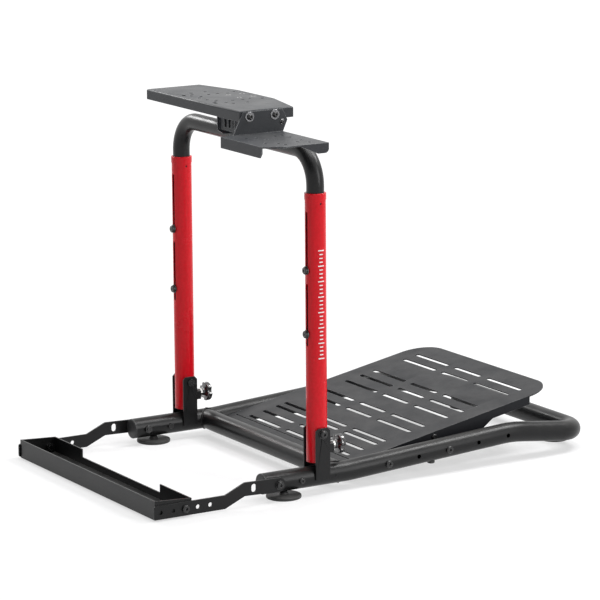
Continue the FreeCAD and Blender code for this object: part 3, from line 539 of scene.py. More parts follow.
# The pale edge colour over a wide, hardly broken edge mask is a painted highlight along the plates' folds
# and hole edges.
PLATE_PAINT = Finish(
    name="charcoal_textured_powder_coat",
    slot=Slot.PLATE,
    colour=(0.030, 0.0325, 0.0375),
    deep=(0.021, 0.0228, 0.0265),
    worn_and_highlit=(0.46, 0.47, 0.48),
    rough=(0.34, 0.44),
    specular=0.22,
    grain=0.8 * MM,
    sharp=0.75,
    relief=0.06 * MM,
    strength=0.35,
    sheen=0.03,
    wear_and_highlight=WearAndHighlight(radius=1.4 * MM, amount=0.9, patch=50.0 * MM, dust=0.12),
)
# A darker copy of the plate paint for the pedal plate: the darker colour is painted shade. Its pale edge
# colour, carried over, is a painted highlight along the edges and slots.
PEDAL_SHADED_PAINT = replace(
    PLATE_PAINT,
    name="charcoal_powder_coat_painted_shade",
    colour=(0.0150, 0.0158, 0.0185),
    deep=(0.0100, 0.0106, 0.0126),
    specular=0.13,
    wear_and_highlight=WearAndHighlight(radius=0.9 * MM, amount=0.7, patch=40.0 * MM),
)
MAST_PAINT = Finish(
    name="gloss_red_paint",
    slot=Slot.MAST,
    colour=(0.66, 0.0018, 0.011),
    deep=(0.60, 0.0014, 0.008),
    worn_and_highlit=(0.85, 0.05, 0.05),
    rough=(0.22, 0.28),
    specular=0.16,
    grain=3.0 * MM,
    sharp=0.1,
    relief=0.02 * MM,
    strength=0.06,
    coat=0.16,
    coat_rough=0.08,
    wear_and_highlight=WearAndHighlight(radius=0.8 * MM, dust=0.02),
)
# Edges lighten to grey: partly rubbed bare steel, partly a painted highlight on the rims of bolt heads,
# washers and nuts.
BLACK_OXIDE = Finish(
    name="black_oxide_steel",
    slot=Slot.FASTENER,
    colour=(0.0080, 0.0080, 0.0085),
    deep=(0.0045, 0.0045, 0.0050),
    worn_and_highlit=grey(0.30),
    rough=(0.16, 0.24),
    specular=0.35,
    grain=0.5 * MM,
    sharp=0.3,
    relief=0.02 * MM,
    strength=0.2,
    coat=0.35,
    coat_rough=0.08,
    wear_and_highlight=WearAndHighlight(radius=0.6 * MM, amount=0.8, patch=6.0 * MM, dust=0.02),
)
ZINC = Finish(
    name="bright_zinc_plate",
    slot=Slot.STEEL,
    colour=(0.78, 0.78, 0.76),
    deep=(0.60, 0.60, 0.59),
    worn_and_highlit=(0.88, 0.88, 0.86),
    rough=(0.20, 0.32),
    grain=0.6 * MM,
    sharp=0.2,
    relief=0.02 * MM,
    metallic=1.0,
    lines=0.3 * MM,
    wear_and_highlight=WearAndHighlight(radius=0.4 * MM, patch=5.0 * MM, dust=0.03),
)
# Dark zinc for washers. Its pale edge colour, at full strength and hardly broken, is a painted highlight
# around the washers' rims.
DARK_ZINC = replace(
    ZINC,
    name="dark_zinc_plate",
    slot=Slot.FASTENER,
    colour=(0.16, 0.16, 0.165),
    deep=(0.09, 0.09, 0.095),
    worn_and_highlit=(0.75, 0.75, 0.74),
    rough=(0.24, 0.34),
    wear_and_highlight=WearAndHighlight(radius=0.8 * MM, amount=1.0, patch=40.0 * MM, dust=0.0),
)
CAP_PLASTIC = Finish(
    name="moulded_black_plastic",
    slot=Slot.CAP,
    colour=(0.018, 0.018, 0.019),
    deep=(0.012, 0.012, 0.013),
    worn_and_highlit=(0.06, 0.06, 0.062),
    rough=(0.42, 0.54),
    grain=0.7 * MM,
    sharp=0.8,
    strength=0.4,
    wear_and_highlight=WearAndHighlight(radius=0.5 * MM, amount=0.4),
)
KNOB_PLASTIC = Finish(
    name="glossy_knob_plastic",
    slot=Slot.KNOB,
    colour=(0.022, 0.022, 0.024),
    deep=(0.016, 0.016, 0.017),
    worn_and_highlit=grey(0.10),
    rough=(0.13, 0.20),
    grain=1.5 * MM,
    sharp=0.1,
    relief=0.02 * MM,
    strength=0.15,
    coat=0.8,
    coat_rough=0.05,
    wear_and_highlight=WearAndHighlight(radius=0.5 * MM, amount=0.3, patch=8.0 * MM, dust=0.03),
)
RUBBER = Finish(
    name="black_foot_rubber",
    slot=Slot.RUBBER,
    colour=grey(0.022),
    deep=grey(0.014),
    worn_and_highlit=(0.07, 0.07, 0.068),
    rough=(0.55, 0.72),
    grain=0.9 * MM,
    sharp=0.6,
    relief=0.06 * MM,
    strength=0.5,
    sheen=0.1,
    wear_and_highlight=WearAndHighlight(radius=0.8 * MM, amount=0.4, dust=0.18),
)
WHITE_INK = Finish(
    name="white_scale_ink",
    slot=Slot.MAST,
    colour=(0.86, 0.86, 0.85),
    deep=(0.78, 0.78, 0.77),
    worn_and_highlit=(0.70, 0.40, 0.38),
    rough=(0.34, 0.44),
    grain=0.5 * MM,
    sharp=0.3,
    relief=0.02 * MM,
    strength=0.2,
    coat=0.3,
    wear_and_highlight=WearAndHighlight(radius=0.2 * MM, amount=0.25, patch=3.0 * MM, dust=0.02),
)


class Paintbox:
    """Every finish of the stand as a material, made when it is first asked for."""

    def __init__(self) -> None:
        """Build the shared effects."""
        self.effects = Effects()
        self._made: dict[str, bpy.types.Material] = {}

    def __getitem__(self, finish: Finish) -> bpy.types.Material:
        """Return the finish's material, built on first use."""
        if finish.name not in self._made:
            self._made[finish.name] = finish.material(self.effects)
        return self._made[finish.name]

    def dress(self, piece: Piece, finish: Finish) -> None:
        """Give a piece one finish all over.

        Args:
            piece: A mesh object, new or carried over from the frame.
            finish: The finish.
        """
        if not piece.data.materials:
            piece.data.materials.append(None)
        for slot in piece.material_slots:
            slot.link = "OBJECT"
            slot.material = self[finish]


# --- Mesh tools ---


def frame_of(direction: Vector) -> tuple[Vector, Vector]:
    """Two unit vectors square to a direction and to each other.

    Args:
        direction: The direction, of any length.

    Returns:
        The two vectors.
    """
    ahead = direction.normalized()
    helper = Vector((0.0, 0.0, 1.0)) if abs(ahead.z) < 0.9 else Vector((1.0, 0.0, 0.0))
    across = ahead.cross(helper).normalized()
    return across, ahead.cross(across).normalized()


def mesh_piece(
    name: str, points: Sequence[Point], faces: Sequence[Sequence[int]], crease: float = CREASE
) -> Piece:
    """Make a smooth-shaded mesh object with creases at its sharp edges.

    Args:
        name: The piece's name.
        points: Its points in the row frame, in metres.
        faces: Its faces as point numbers.
        crease: Angle in degrees above which an edge stays sharp.

    Returns:
        The object.
    """
    mesh = bpy.data.meshes.new(name)
    mesh.from_pydata([tuple(p) for p in points], [], [tuple(f) for f in faces])
    mesh.validate()
    mesh.polygons.foreach_set("use_smooth", [True] * len(mesh.polygons))
    mesh.set_sharp_from_angle(angle=math.radians(crease))
    mesh.update()
    piece = bpy.data.objects.new(name, mesh)
    bpy.context.scene.collection.objects.link(piece)
    return piece


def ring_grid(rings: int, sides: int, closed: bool) -> list[Face]:
    """Faces between rings of points that follow each other.

    Args:
        rings: Number of rings.
        sides: Points in each ring.
        closed: Whether the last ring joins the first.

    Returns:
        The faces.
    """
    faces: list[Face] = []
    for ring in range(rings if closed else rings - 1):
        after = (ring + 1) % rings
        for side in range(sides):
            beside = (side + 1) % sides
            near, far = ring * sides, after * sides
            faces.append((near + side, near + beside, far + beside, far + side))
    if not closed:
        faces.append(tuple(range(sides))[::-1])
        faces.append(tuple((rings - 1) * sides + side for side in range(sides)))
    return faces


def ring_points(centre: Vector, axis: Vector, reaches: Sequence[float]) -> list[Point]:
    """Points at even angles around an axis.

    Args:
        centre: Middle of the ring.
        axis: Direction that the ring is square to.
        reaches: Each point's distance from the axis.

    Returns:
        The points.
    """
    across, up = frame_of(axis)
    points = []
    for side, reach in enumerate(reaches):
        angle = 2.0 * math.pi * side / len(reaches)
        place = centre + across * (reach * math.cos(angle)) + up * (reach * math.sin(angle))
        points.append(tuple(place))
    return points


def lathe(
    name: str,
    profile: Sequence[tuple[float, float]],
    origin: Point,
    axis: Point,
    sides: int,
    shape: Optional[Callable[[float, float], float]] = None,
) -> Piece:
    """Turn a profile about an axis.

    Args:
        name: The piece's name.
        profile: Radius and height of each ring, in metres, from one end to the other.
        origin: Where height 0 is.
        axis: Direction of growing height.
        sides: Points around the axis.
        shape: Share of the radius kept at an angle and radius, for lobes or flats.

    Returns:
        The object.
    """
    ahead = Vector(axis).normalized()
    angles = [2.0 * math.pi * side / sides for side in range(sides)]
    points: list[Point] = []
    for radius, height in profile:
        reaches = [radius * (shape(angle, radius) if shape else 1.0) for angle in angles]
        points += ring_points(Vector(origin) + ahead * height, ahead, reaches)
    return mesh_piece(name, points, ring_grid(len(profile), sides, False))


def thread(
    name: str, radius: float, depth: float, pitch: float, length: float, origin: Point, axis: Point
) -> Piece:
    """Threaded stud with a helical crest.

    Args:
        name: The piece's name.
        radius: Radius over the crests.
        depth: Depth of the thread.
        pitch: Distance between crests.
        length: Length of the stud.
        origin: Centre of its first end.
        axis: Its direction.

    Returns:
        The object.
    """
    ahead = Vector(axis).normalized()
    turns = [side / THREAD_SIDES for side in range(THREAD_SIDES)]
    rings_per_turn = 6
    steps = max(8, int(rings_per_turn * length / pitch))
    points: list[Point] = []
    for step in range(steps + 1):
        height = length * step / steps
        waves = [abs(2.0 * ((height / pitch + turn) % 1.0) - 1.0) for turn in turns]
        reaches = [radius - depth * wave for wave in waves]
        points += ring_points(Vector(origin) + ahead * height, ahead, reaches)
    return mesh_piece(name, points, ring_grid(steps + 1, THREAD_SIDES, False), THREAD_CREASE)


def hexagonal(angle: float, radius: float) -> float:
    """Share that turns a ring into a hexagon around it, with slightly cut corners.

    Args:
        angle: Angle around the axis.
        radius: Radius of the ring, which makes no difference to the share.

    Returns:
        The share of the radius.
    """
    corner = 1.14
    return min(corner, 1.0 / math.cos((angle % (math.pi / 3.0)) - math.pi / 6.0))


@dataclass(frozen=True)
class Fastener:
    """A button-head socket bolt with its washer and nut, all sizes in metres."""

    shank: float
    head: float
    height: float
    washer: float
    flats: float
    nut: float
    washer_t: float = 1.4 * MM
    socket_share: float = 0.31
    crown: tuple[tuple[float, float], ...] = ((1.0, 0.35), (0.93, 0.62), (0.78, 0.86))

    def build(self, paint: Paintbox, seat: Point, outward: Point, grip: float) -> list[Piece]:
        """Make the bolt, washer and nut.

        Args:
            paint: The finishes.
            seat: Point under the washer, on the bolt's axis.
            outward: Direction that the head looks in.
            grip: Thickness between the washer and the nut.

        Returns:
            The dressed pieces.
        """
        lift = self.washer_t
        top = lift + self.height
        radius = self.shank / 2.0
        wide = self.head / 2.0
        socket = self.shank * self.socket_share
        profile = [
            (radius, -grip - self.nut - 1.0 * MM),
            (radius, lift),
            (wide - 0.15 * MM, lift),
            (wide, lift + 0.3 * MM),
            *((wide * share, lift + self.height * rise) for share, rise in self.crown),
            (wide * 0.60, top - self.height * 0.03),
            (socket + 0.45 * MM, top),
            (socket + 0.15 * MM, top - 0.1 * MM),
            (socket, top - 0.4 * MM),
            (socket, top - self.height * 0.6),
            (0.1 * MM, top - self.height * 0.65),
        ]
        inner = socket + 0.1 * MM
        head = lathe(
            "head",
            profile,
            seat,
            outward,
            HEAD_SIDES,
            lambda angle, reach: hexagonal(angle, reach) if reach <= inner else 1.0,
        )
        paint.dress(head, BLACK_OXIDE)
        rim = self.washer / 2.0
        chamfer = 0.35 * MM
        outline = [(radius, 0.0), (rim, 0.0), (rim, lift - chamfer), (rim - chamfer, lift), (radius, lift)]
        ring = lathe("ring", outline, seat, outward, HEAD_SIDES)
        # The washer's rim gets a painted highlight from the dark zinc's edge colour.
        paint.dress(ring, DARK_ZINC)
        half = self.flats / 2.0
        under = -grip - self.nut
        nut = lathe(
            "nut",
            [(half * 0.9, under), (half, under + 0.5 * MM), (half, -grip), (radius, -grip)],
            seat,
            outward,
            NUT_SIDES,
            lambda angle, reach: hexagonal(angle, reach) if reach > radius + 0.1 * MM else 1.0,
        )
        paint.dress(nut, BLACK_OXIDE)
        return [head, ring, nut]


def weld_bead(name: str, path: Sequence[Vector], radius: float, ripple: float, closed: bool) -> Piece:
    """Rippled bead of weld along a path.

    Args:
        name: The piece's name.
        path: Points along the joint.
        radius: Mean radius of the bead.
        ripple: Length of one ripple.
        closed: Whether the path ends where it starts.

    Returns:
        The object.
    """
    swelling = 0.16
    count = len(path)
    points: list[Point] = []
    run = 0.0
    for index, place in enumerate(path):
        before = path[index - 1] if index or closed else place
        after = path[(index + 1) % count] if index + 1 < count or closed else place
        if index:
            run += (place - path[index - 1]).length
        swell = radius * (1.0 + swelling * math.cos(2.0 * math.pi * run / ripple))
        points += ring_points(place, after - before, [swell] * BEAD_SIDES)
    return mesh_piece(name, points, ring_grid(count, BEAD_SIDES, closed), BEAD_CREASE)


def join_pieces(name: str, pieces: Sequence[Piece]) -> Piece:
    """Join pieces into one object that keeps each piece's own finish.

    Args:
        name: The joined piece's name.
        pieces: The pieces, each with its materials assigned.

    Returns:
        The joined object.
    """
    points: list[Point] = []
    faces: list[Face] = []
    index: list[int] = []
    finishes: list[bpy.types.Material] = []
    for piece in pieces:
        base = len(points)
        points.extend(tuple(v.co) for v in piece.data.vertices)
        material = piece.material_slots[0].material
        if material not in finishes:
            finishes.append(material)
        for face in piece.data.polygons:
            faces.append(tuple(base + v for v in face.vertices))
            index.append(finishes.index(material))
        bpy.data.objects.remove(piece)
    joined = mesh_piece(name, points, faces, JOINED_CREASE)
    for material in finishes:
        joined.data.materials.append(material)
    joined.data.polygons.foreach_set("material_index", index)
    return joined


def soften(piece: Piece, width: float) -> None:
    """Round a carried-over node's sharp edges by a small bevel.

    Args:
        piece: The node's object.
        width: Width of the bevel.
    """
    weld = piece.modifiers.new("meet", "WELD")
    weld.merge_threshold = MEETING
    bevel = piece.modifiers.new("edge", "BEVEL")
    bevel.width = width
    bevel.segments = BEVEL_SEGMENTS
    bevel.limit_method = "ANGLE"
    bevel.angle_limit = math.radians(BEVEL_ANGLE)
    bevel.miter_outer = "MITER_ARC"
    bevel.harden_normals = True
    bevel.use_clamp_overlap = True


# --- Sub-assemblies ---


@dataclass
class Assembly:
    """One group of the stand: carried-over nodes with finishes, and new pieces."""

    frame: dict
    paint: Paintbox
    body: Body = Body.BASE

    def keep(self, finish: Finish, *nodes: str, edge: float = 0.0) -> None:
        """Keep nodes whose shape is right, and give them a finish.

        Args:
            finish: The finish.
            *nodes: Names of the nodes.
            edge: Width of a small bevel for their sharp edges, or 0 for none.
        """
        for name in nodes:
            piece = self.frame["nodes"][name]
            self.paint.dress(piece, finish)
            if edge > 0.0:
                soften(piece, edge)
            LOG.info("%s: %s, %s", self.body.value, name, finish.name)

    def place(self, piece: Piece, slot: Slot, body: Optional[str] = None) -> None:
        """Hang a new piece on a body.

        Args:
            piece: The new piece.
            slot: The record's slot; not used.
            body: The body's name where it isn't the assembly's own.
        """
        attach(piece, body or self.body.value)
        LOG.info("%s: new piece %s, %d faces", body or self.body.value, piece.name, len(piece.data.polygons))

    def centre(self, node: str) -> Vector:
        """Middle of a node's box.

        Args:
            node: The node's name.

        Returns:
            The point.
        """
        low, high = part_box(node)
        return (low + high) / 2.0


@dataclass
class BaseFrame(Assembly):
    """The tube base: rails, rear bow, cross tube, mast brackets and their fasteners."""

    tube_radius: float = 19.0 * MM
    bead: float = 1.7 * MM
    ripple: float = 2.2 * MM
    bead_gap: float = 0.3 * MM
    bead_steps: int = 96

    def build(self) -> None:
        """Dress the tubes and add the weld beads."""
        self.keep(FRAME_PAINT, "left_rail", "right_rail", "rear_bow", "front_cross_tube")
        self.keep(FRAME_PAINT, "left_clevis", "right_clevis", edge=0.5 * MM)
        self.keep(CAP_PLASTIC, "rail_end_caps")
        self.keep(ZINC, "bow_spigots", "pedal_spacers")
        self.keep(BLACK_OXIDE, "mast_pivot_bolts", "stub_screws", "pedal_bolts", "arm_pivot_bolts")
        self.keep(RUBBER, "rear_pads", "rail_bumpers")
        for side in Side:
            self.cross_tube_weld(side)
            self.bracket_welds(side)

    def cross_tube_weld(self, side: Side) -> None:
        """Bead where the cross tube runs into a rail.

        Args:
            side: The rail's side.
        """
        low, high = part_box(side.value + "_rail")
        rail_x = (low.x + high.x) / 2.0
        tube = self.centre("front_cross_tube")
        reach = self.tube_radius + self.bead_gap
        path = []
        for step in range(self.bead_steps):
            angle = 2.0 * math.pi * step / self.bead_steps
            depth = abs(math.cos(angle)) * self.tube_radius
            x = rail_x - side.sign * (depth + self.bead_gap)
            y = tube.y + reach * math.cos(angle)
            path.append(Vector((x, y, tube.z + reach * math.sin(angle))))
        piece = weld_bead(side.value + "_cross_weld", path, self.bead, self.ripple, True)
        self.paint.dress(piece, FRAME_PAINT)
        self.place(piece, Slot.FRAME)

    def bracket_welds(self, side: Side) -> None:
        """Beads up the edges of a mast bracket's cheeks, along the rail.

        Args:
            side: The bracket's side.
        """
        low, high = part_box(side.value + "_clevis")
        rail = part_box(side.value + "_rail")
        rail_x = (rail[0].x + rail[1].x) / 2.0
        pieces = []
        for way in (-1.0, 1.0):
            for y in (low.y + 1.0 * MM, high.y - 1.0 * MM):
                x = rail_x + way * (self.tube_radius - 0.2 * MM)
                path = [Vector((x, y, low.z + (1.0 + 0.5 * step) * MM)) for step in range(14)]
                piece = weld_bead("bead", path, 1.1 * MM, 1.8 * MM, False)
                self.paint.dress(piece, FRAME_PAINT)
                pieces.append(piece)
        self.place(join_pieces(side.value + "_bracket_welds", pieces), Slot.FRAME)


@dataclass
class PedalDeck(Assembly):
    """The slotted pedal plate between the rails."""

    def build(self) -> None:
        """Dress the plate."""
        self.keep(PEDAL_SHADED_PAINT, "pedal_plate", edge=0.5 * MM)


@dataclass
class Masts(Assembly):
    """The two folding uprights, with a printed height scale on their outer sides."""

    body: Body = Body.MAST
    radius: float = 19.0 * MM
    scale_low: float = 250.0 * MM
    scale_high: float = 446.0 * MM
    pitch: float = 7.0 * MM
    long_every: int = 4
    long_width: float = 12.0 * MM
    short_width: float = 7.0 * MM
    line: float = 2.0 * MM
    ink: float = 0.12 * MM
    sunk: float = -0.05 * MM

    def build(self) -> None:
        """Dress the tubes and print the scales."""
        self.keep(MAST_PAINT, "left_mast_tube", "right_mast_tube", "left_mast_collar", "right_mast_collar")
        self.keep(CAP_PLASTIC, "guide_sleeves", "mast_plugs")
        for side in Side:
            self.print_scale(side)

    def mark(self, centre: Vector, sign: float, z: float, width: float) -> tuple[list[Point], list[Face]]:
        """One thin curved line of ink on the outer side of a mast.

        Args:
            centre: The mast's axis.
            sign: 1 where the outer side looks along +X, -1 along -X.
            z: Height of the line's middle.
            width: Its length around the tube.

        Returns:
            Its points and faces.
        """
        steps = 8
        points: list[Point] = []
        for step in range(steps + 1):
            angle = (step / steps - 0.5) * width / self.radius
            for reach, high in ((self.sunk, -0.5), (self.ink, -0.5), (self.ink, 0.5), (self.sunk, 0.5)):
                out = self.radius + reach
                x = centre.x + sign * out * math.cos(angle)
                points.append((x, centre.y + out * math.sin(angle), z + high * self.line))
        return points, ring_grid(steps + 1, 4, False)

    def print_scale(self, side: Side) -> None:
        """Print the height scale of one mast.

        Args:
            side: The mast's side.
        """
        centre = self.centre(side.value + "_mast_tube")
        points: list[Point] = []
        faces: list[Face] = []
        count = int((self.scale_high - self.scale_low) / self.pitch) + 1
        for number in range(count):
            width = self.long_width if number % self.long_every == 0 else self.short_width
            more, sides = self.mark(centre, side.sign, self.scale_low + number * self.pitch, width)
            faces.extend(tuple(len(points) + v for v in f) for f in sides)
            points.extend(more)
        piece = mesh_piece(side.value + "_height_scale", points, faces)
        self.paint.dress(piece, WHITE_INK)
        self.place(piece, Slot.MAST)


@dataclass
class Lift(Assembly):
    """The height-adjusting hoop and its clamping bolts."""

    body: Body = Body.LIFT

    def build(self) -> None:
        """Dress the hoop."""
        self.keep(FRAME_PAINT, "u_tube")
        self.keep(CAP_PLASTIC, "leg_bushes")
        self.keep(BLACK_OXIDE, "slot_bolts")


@dataclass
class WheelDeck(Assembly):
    """The tilting wheel plate, its saddle and the side plate for a shifter."""

    body: Body = Body.DECK
    wall: float = 2.5 * MM
    flange: float = 2.6 * MM
    bolt_y: tuple[float, float] = (58.0 * MM, 110.0 * MM)
    bolt_z: float = 51.0 * MM
    screw_y: float = 125.0 * MM
    screw_z: float = 37.0 * MM

    def build(self) -> None:
        """Dress the folded plates and their bolts."""
        self.keep(PLATE_PAINT, "wheel_plate", "shifter_plate", "saddle_bracket", edge=0.5 * MM)
        self.keep(PLATE_PAINT, "left_clamp_strap", "right_clamp_strap", edge=0.4 * MM)
        self.keep(BLACK_OXIDE, "strap_bolts", "saddle_bolts")
        self.side_bolts()

    def side_bolts(self) -> None:
        """Replace the shifter plate's bolts by ones with dark zinc washers under their heads, whose rims
        carry a painted highlight.
        """
        low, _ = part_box("shifter_plate")
        face = low.x + self.wall
        big = Fastener(6.0 * MM, 11.0 * MM, 3.6 * MM, 18.0 * MM, 10.0 * MM, 5.0 * MM)
        small = Fastener(4.0 * MM, 7.6 * MM, 2.4 * MM, 9.0 * MM, 7.0 * MM, 3.2 * MM)
        pieces = []
        for y in self.bolt_y:
            seat = (face, low.y + y, low.z + self.bolt_z)
            pieces += big.build(self.paint, seat, ALONG_X, self.wall + self.flange)
        seat = (face, low.y + self.screw_y, low.z + self.screw_z)
        pieces += small.build(self.paint, seat, ALONG_X, self.wall)
        piece = join_pieces("side_bolts", pieces)
        self.place(piece, Slot.FASTENER)
        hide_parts("shifter_bolts")


@dataclass
class ChairStop(Assembly):
    """The two arms and the channel that a chair's castors stand in."""

    body: Body = Body.CHAIR_STOP

    def build(self) -> None:
        """Dress the arms and the channel."""
        self.keep(FRAME_PAINT, "left_arm", "right_arm", "wheel_channel", edge=0.5 * MM)
        self.keep(BLACK_OXIDE, "channel_bolts")


@dataclass
class LockKnobs(Assembly):
    """The lobed knobs that clamp the masts upright."""

    lobes: int = 3
    radius: float = 18.0 * MM
    right_turn: float = 15.0
    left_turn: float = -13.0
    dip_radius: float = 7.0 * MM
    dip_depth: float = 3.5 * MM
    thickness: float = 10.0 * MM
    hub_radius: float = 7.0 * MM
    rim_edge: float = 2.2 * MM
    rim_steps: int = 6
    sides: int = 180

    def build(self) -> None:
        """Replace both knobs by finely shaped ones."""
        for side in Side:
            self.knob(side)

    def outline(self, first: float, angle: float, radius: float) -> float:
        """Share of the radius at an angle: full on a lobe, less between lobes.

        Args:
            first: Angle of the first hollow, in degrees.
            angle: Angle around the knob.
            radius: Radius of the ring, which fades the lobes towards the hub.

        Returns:
            The share.
        """
        fade = min(1.0, max(0.0, (radius - 9.0 * MM) / (5.0 * MM)))
        pitch = 2.0 * math.pi / self.lobes
        turn = (angle - math.radians(first) + pitch / 2.0) % pitch - pitch / 2.0
        away = radius + self.dip_radius - self.dip_depth
        reach = self.dip_radius**2 - (away * math.sin(turn)) ** 2
        if reach <= 0.0 or math.cos(turn) < 0.0:
            return 1.0
        inner = away * math.cos(turn) - math.sqrt(reach)
        return 1.0 + (min(inner / radius, 1.0) - 1.0) * fade

    def knob(self, side: Side) -> None:
        """Build one knob with its hub, jam nut and stud.

        Args:
            side: The knob's side.
        """
        node = side.value + "_knob"
        low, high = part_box(node)
        centre = self.centre(side.value + "_mast_tube")
        radius = self.radius
        centre.z = high.z - radius
        back = high.y
        front = back - self.thickness
        origin = (centre.x, front, centre.z)
        edge = self.rim_edge
        profile = [(self.hub_radius, -5.0 * MM), (self.hub_radius + 0.6 * MM, -1.2 * MM), (9.5 * MM, 0.0)]
        turns = [math.radians(90.0 * step / self.rim_steps) for step in range(self.rim_steps + 1)]
        ridge = radius - edge
        top = self.thickness - edge
        profile += [(ridge + edge * math.sin(turn), edge - edge * math.cos(turn)) for turn in turns]
        profile += [(ridge + edge * math.cos(turn), top + edge * math.sin(turn)) for turn in turns]
        profile += [
            (9.0 * MM, self.thickness),
            (8.2 * MM, self.thickness - 0.3 * MM),
            (7.8 * MM, self.thickness - 1.4 * MM),
            (0.5 * MM, self.thickness - 1.6 * MM),
        ]
        first = self.right_turn if side is Side.RIGHT else self.left_turn
        grip = lathe(
            "grip",
            profile,
            origin,
            ALONG_Y,
            self.sides,
            lambda angle, reach: self.outline(first, angle, reach),
        )
        self.paint.dress(grip, KNOB_PLASTIC)
        nut_at = (centre.x, front - 10.5 * MM, centre.z)
        nut = lathe(
            "nut",
            [(5.6 * MM, 0.0), (6.5 * MM, 0.6 * MM), (6.5 * MM, 4.6 * MM), (5.6 * MM, 5.2 * MM)],
            nut_at,
            ALONG_Y,
            NUT_SIDES,
            hexagonal,
        )
        self.paint.dress(nut, ZINC)
        stud_at = (centre.x, low.y, centre.z)
        stud = thread("stud", *M8_THREAD, front - 4.0 * MM - low.y, stud_at, ALONG_Y)
        self.paint.dress(stud, ZINC)
        piece = join_pieces(side.value + "_star_knob", [grip, nut, stud])
        self.place(piece, Slot.KNOB, side.value + "_lock_knob")
        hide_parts(node)


@dataclass
class ScrewFeet(Assembly):
    """The levelling feet under the rails."""

    stem_radius: float = 8.0 * MM
    stud_start: float = 8.0 * MM
    sides: int = 96

    def build(self) -> None:
        """Replace both feet by turned ones with a rubber tread."""
        for side in Side:
            self.foot(side)

    def foot(self, side: Side) -> None:
        """Build one foot: tread, dished body, jam nut and stud.

        Args:
            side: The foot's side.
        """
        node = side.value + "_foot"
        low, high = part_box(node)
        centre = (low + high) / 2.0
        radius = (high.x - low.x) / 2.0
        origin = (centre.x, centre.y, low.z)
        body = lathe(
            "body",
            [
                (radius - 1.6 * MM, 0.0),
                (radius - 0.4 * MM, 0.5 * MM),
                (radius, 1.5 * MM),
                (radius, 4.2 * MM),
                (radius - 0.6 * MM, 5.4 * MM),
                (radius - 2.0 * MM, 6.0 * MM),
                (14.0 * MM, 6.0 * MM),
                (10.5 * MM, 6.2 * MM),
                (8.8 * MM, 7.0 * MM),
                (self.stem_radius, 8.4 * MM),
                (self.stem_radius - 0.4 * MM, 9.0 * MM),
                (3.0 * MM, 9.0 * MM),
            ],
            origin,
            ALONG_Z,
            self.sides,
        )
        self.paint.dress(body, RUBBER)
        nut = lathe(
            "nut",
            [(5.9 * MM, 8.8 * MM), (6.6 * MM, 9.2 * MM), (6.6 * MM, 11.5 * MM), (5.9 * MM, 12.0 * MM)],
            origin,
            ALONG_Z,
            NUT_SIDES,
            hexagonal,
        )
        self.paint.dress(nut, BLACK_OXIDE)
        stud_at = (centre.x, centre.y, low.z + self.stud_start)
        stud = thread("stud", *M8_THREAD, high.z - low.z - self.stud_start, stud_at, ALONG_Z)
        self.paint.dress(stud, BLACK_OXIDE)
        piece = join_pieces(side.value + "_levelling_foot", [body, nut, stud])
        self.place(piece, Slot.RUBBER, side.value + "_screw_foot")
        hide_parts(node)


# --- Studio ---


@dataclass(frozen=True)
class SoftBox:
    """A square studio lamp."""

    name: str
    place: Point
    aim: Point
    size: tuple[float, float]
    power: float

    def build(self) -> None:
        """Hang the lamp."""
        data = bpy.data.lights.new(self.name, "AREA")
        data.shape = "RECTANGLE"
        data.size = self.size[0]
        data.size_y = self.size[1]
        data.energy = self.power
        lamp = bpy.data.objects.new(self.name, data)
        bpy.context.scene.collection.objects.link(lamp)
        away = Vector(self.aim) - Vector(self.place)
        turned = away.to_track_quat("-Z", "Y").to_matrix().to_4x4()
        lamp.matrix_world = Matrix.Translation(Vector(self.place)) @ turned


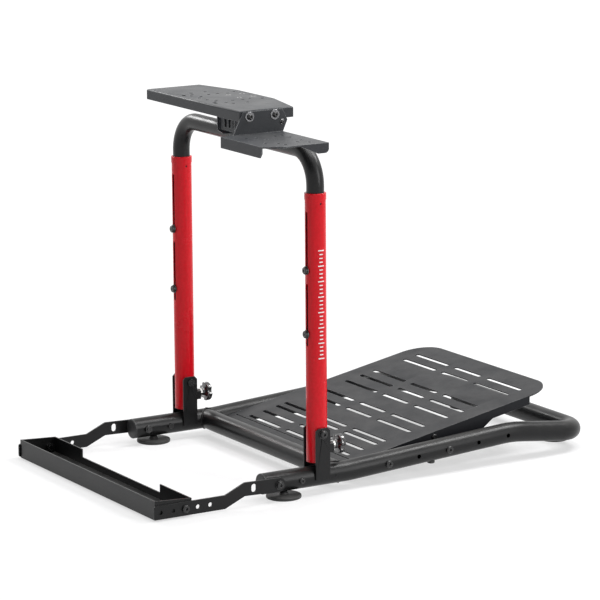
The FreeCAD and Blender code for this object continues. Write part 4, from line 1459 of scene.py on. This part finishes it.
@dataclass
class Studio:
    """Camera, lamps, sky and floor."""

    azimuth: float = 58.90
    elevation: float = 11.73
    roll: float = -0.41
    lens: float = 197.0
    target: Point = (-0.0911, 0.01905, 0.2827)
    distance: float = 6.2024
    floor_colour: Colour = (0.84, 0.84, 0.85)
    floor_glow: tuple[float, float] = (0.52, 0.985)
    floor_fade: tuple[float, float] = (0.75, 2.4)
    floor_reach: float = 30.0
    floor_rough: float = 0.65
    floor_shine: float = 0.2
    floor_strength: float = 1.12
    sky: float = 0.30
    lamps: tuple[SoftBox, ...] = (
        SoftBox("overhead", (0.1, 0.2, 2.8), (-0.03, 0.0, 0.2), (1.5, 1.5), 40.0),
        SoftBox("back_box", (0.35, 1.5, 2.3), (-0.03, 0.0, 0.3), (0.8, 0.8), 34.0),
        SoftBox("right_strip", (2.9, 1.15, 1.5), (0.0, 0.0, 0.35), (0.35, 2.0), 38.0),
        SoftBox("left_strip", (-2.2, -1.9, 1.7), (0.0, 0.0, 0.35), (0.5, 1.8), 3.0),
        SoftBox("far_strip", (-2.5, -0.5, 1.85), (0.0, 0.0, 0.5), (0.8, 0.4), 26.0),
    )

    def camera(self) -> None:
        """Set the camera."""
        turn = math.radians(self.azimuth)
        tilt = math.radians(self.elevation)
        lean = math.radians(self.roll)
        ahead = Vector((-math.sin(turn) * math.cos(tilt), math.cos(turn) * math.cos(tilt), -math.sin(tilt)))
        level = Vector((math.cos(turn), math.sin(turn), 0.0))
        upward = level.cross(ahead)
        right = level * math.cos(lean) + upward * math.sin(lean)
        top = upward * math.cos(lean) - level * math.sin(lean)
        place = Vector(self.target) - ahead * self.distance
        data = bpy.data.cameras.new("camera")
        data.sensor_width = 36.0
        data.lens = self.lens
        data.clip_start = 0.1
        data.clip_end = 100.0
        camera = bpy.data.objects.new("camera", data)
        bpy.context.scene.collection.objects.link(camera)
        grid = Matrix((right, top, -ahead)).transposed().to_4x4()
        camera.matrix_world = Matrix.Translation(place) @ grid
        bpy.context.scene.camera = camera

    def world(self) -> None:
        """Soft even sky that lights the stand, and shows white behind it."""
        world = bpy.data.worlds.new("sky")
        bpy.context.scene.world = world
        world.use_nodes = True
        graph = Graph(world.node_tree)
        rays = graph.add("LightPath")
        seen = graph.math("MAXIMUM", rays.outputs["Is Camera Ray"], rays.outputs["Is Transmission Ray"])
        seen = graph.math("MAXIMUM", seen, rays.outputs["Is Glossy Ray"])
        soft, white = graph.add("Background"), graph.add("Background")
        graph.fill(soft, Color=WHITE, Strength=self.sky)
        graph.fill(white, Color=WHITE, Strength=1.0)
        chosen = graph.blend(seen, soft.outputs[0], white.outputs[0])
        graph.fill(graph.add("OutputWorld"), Surface=chosen)

    def floor(self) -> None:
        """Pale floor that keeps the stand's soft shadow and meets the white behind it."""
        reach = self.floor_reach
        points = [(-reach, -reach, 0.0), (reach, -reach, 0.0), (reach, reach, 0.0), (-reach, reach, 0.0)]
        floor = mesh_piece("floor", points, [(0, 1, 2, 3)])
        made = bpy.data.materials.new("pale_floor")
        made.use_nodes = True
        graph = Graph(made.node_tree)
        matt = graph.add("BsdfPrincipled")
        shine = self.floor_shine
        graph.fill(matt, Base_Color=self.floor_colour, Roughness=self.floor_rough, Specular_IOR_Level=shine)
        glow = graph.add("Emission")
        graph.fill(glow, Strength=self.floor_strength)
        rays = graph.add("LightPath")
        seen = graph.math("MAXIMUM", rays.outputs["Is Camera Ray"], rays.outputs["Is Glossy Ray"])
        away = graph.add("VectorMath", operation="LENGTH")
        graph.feed(away.inputs[0], graph.local())
        fade = graph.span(away.outputs["Value"], *self.floor_fade, self.floor_glow)
        share = graph.math("MULTIPLY", seen, fade)
        both = graph.blend(share, matt.outputs[0], glow.outputs[0])
        graph.fill(graph.add("OutputMaterial"), Surface=both)
        floor.data.materials.append(made)

    def build(self) -> None:
        """Set up the whole studio."""
        scene = bpy.context.scene
        scene.view_settings.view_transform = "Standard"
        self.camera()
        self.world()
        self.floor()
        for lamp in self.lamps:
            lamp.build()


def clear_scene() -> None:
    """Remove whatever the empty file starts with."""
    for piece in list(bpy.data.objects):
        bpy.data.objects.remove(piece)


def main() -> None:
    """Build the stand, sub-assembly by sub-assembly, and the studio around it."""
    logging.basicConfig(level=logging.INFO, format="%(name)s %(message)s")
    clear_scene()
    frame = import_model()
    paint = Paintbox()
    for part in (BaseFrame, PedalDeck, Masts, Lift, WheelDeck, ChairStop, LockKnobs, ScrewFeet):
        LOG.info("building %s", part.__name__)
        part(frame, paint).build()
    Studio().build()


if __name__ == "__main__":
    main()
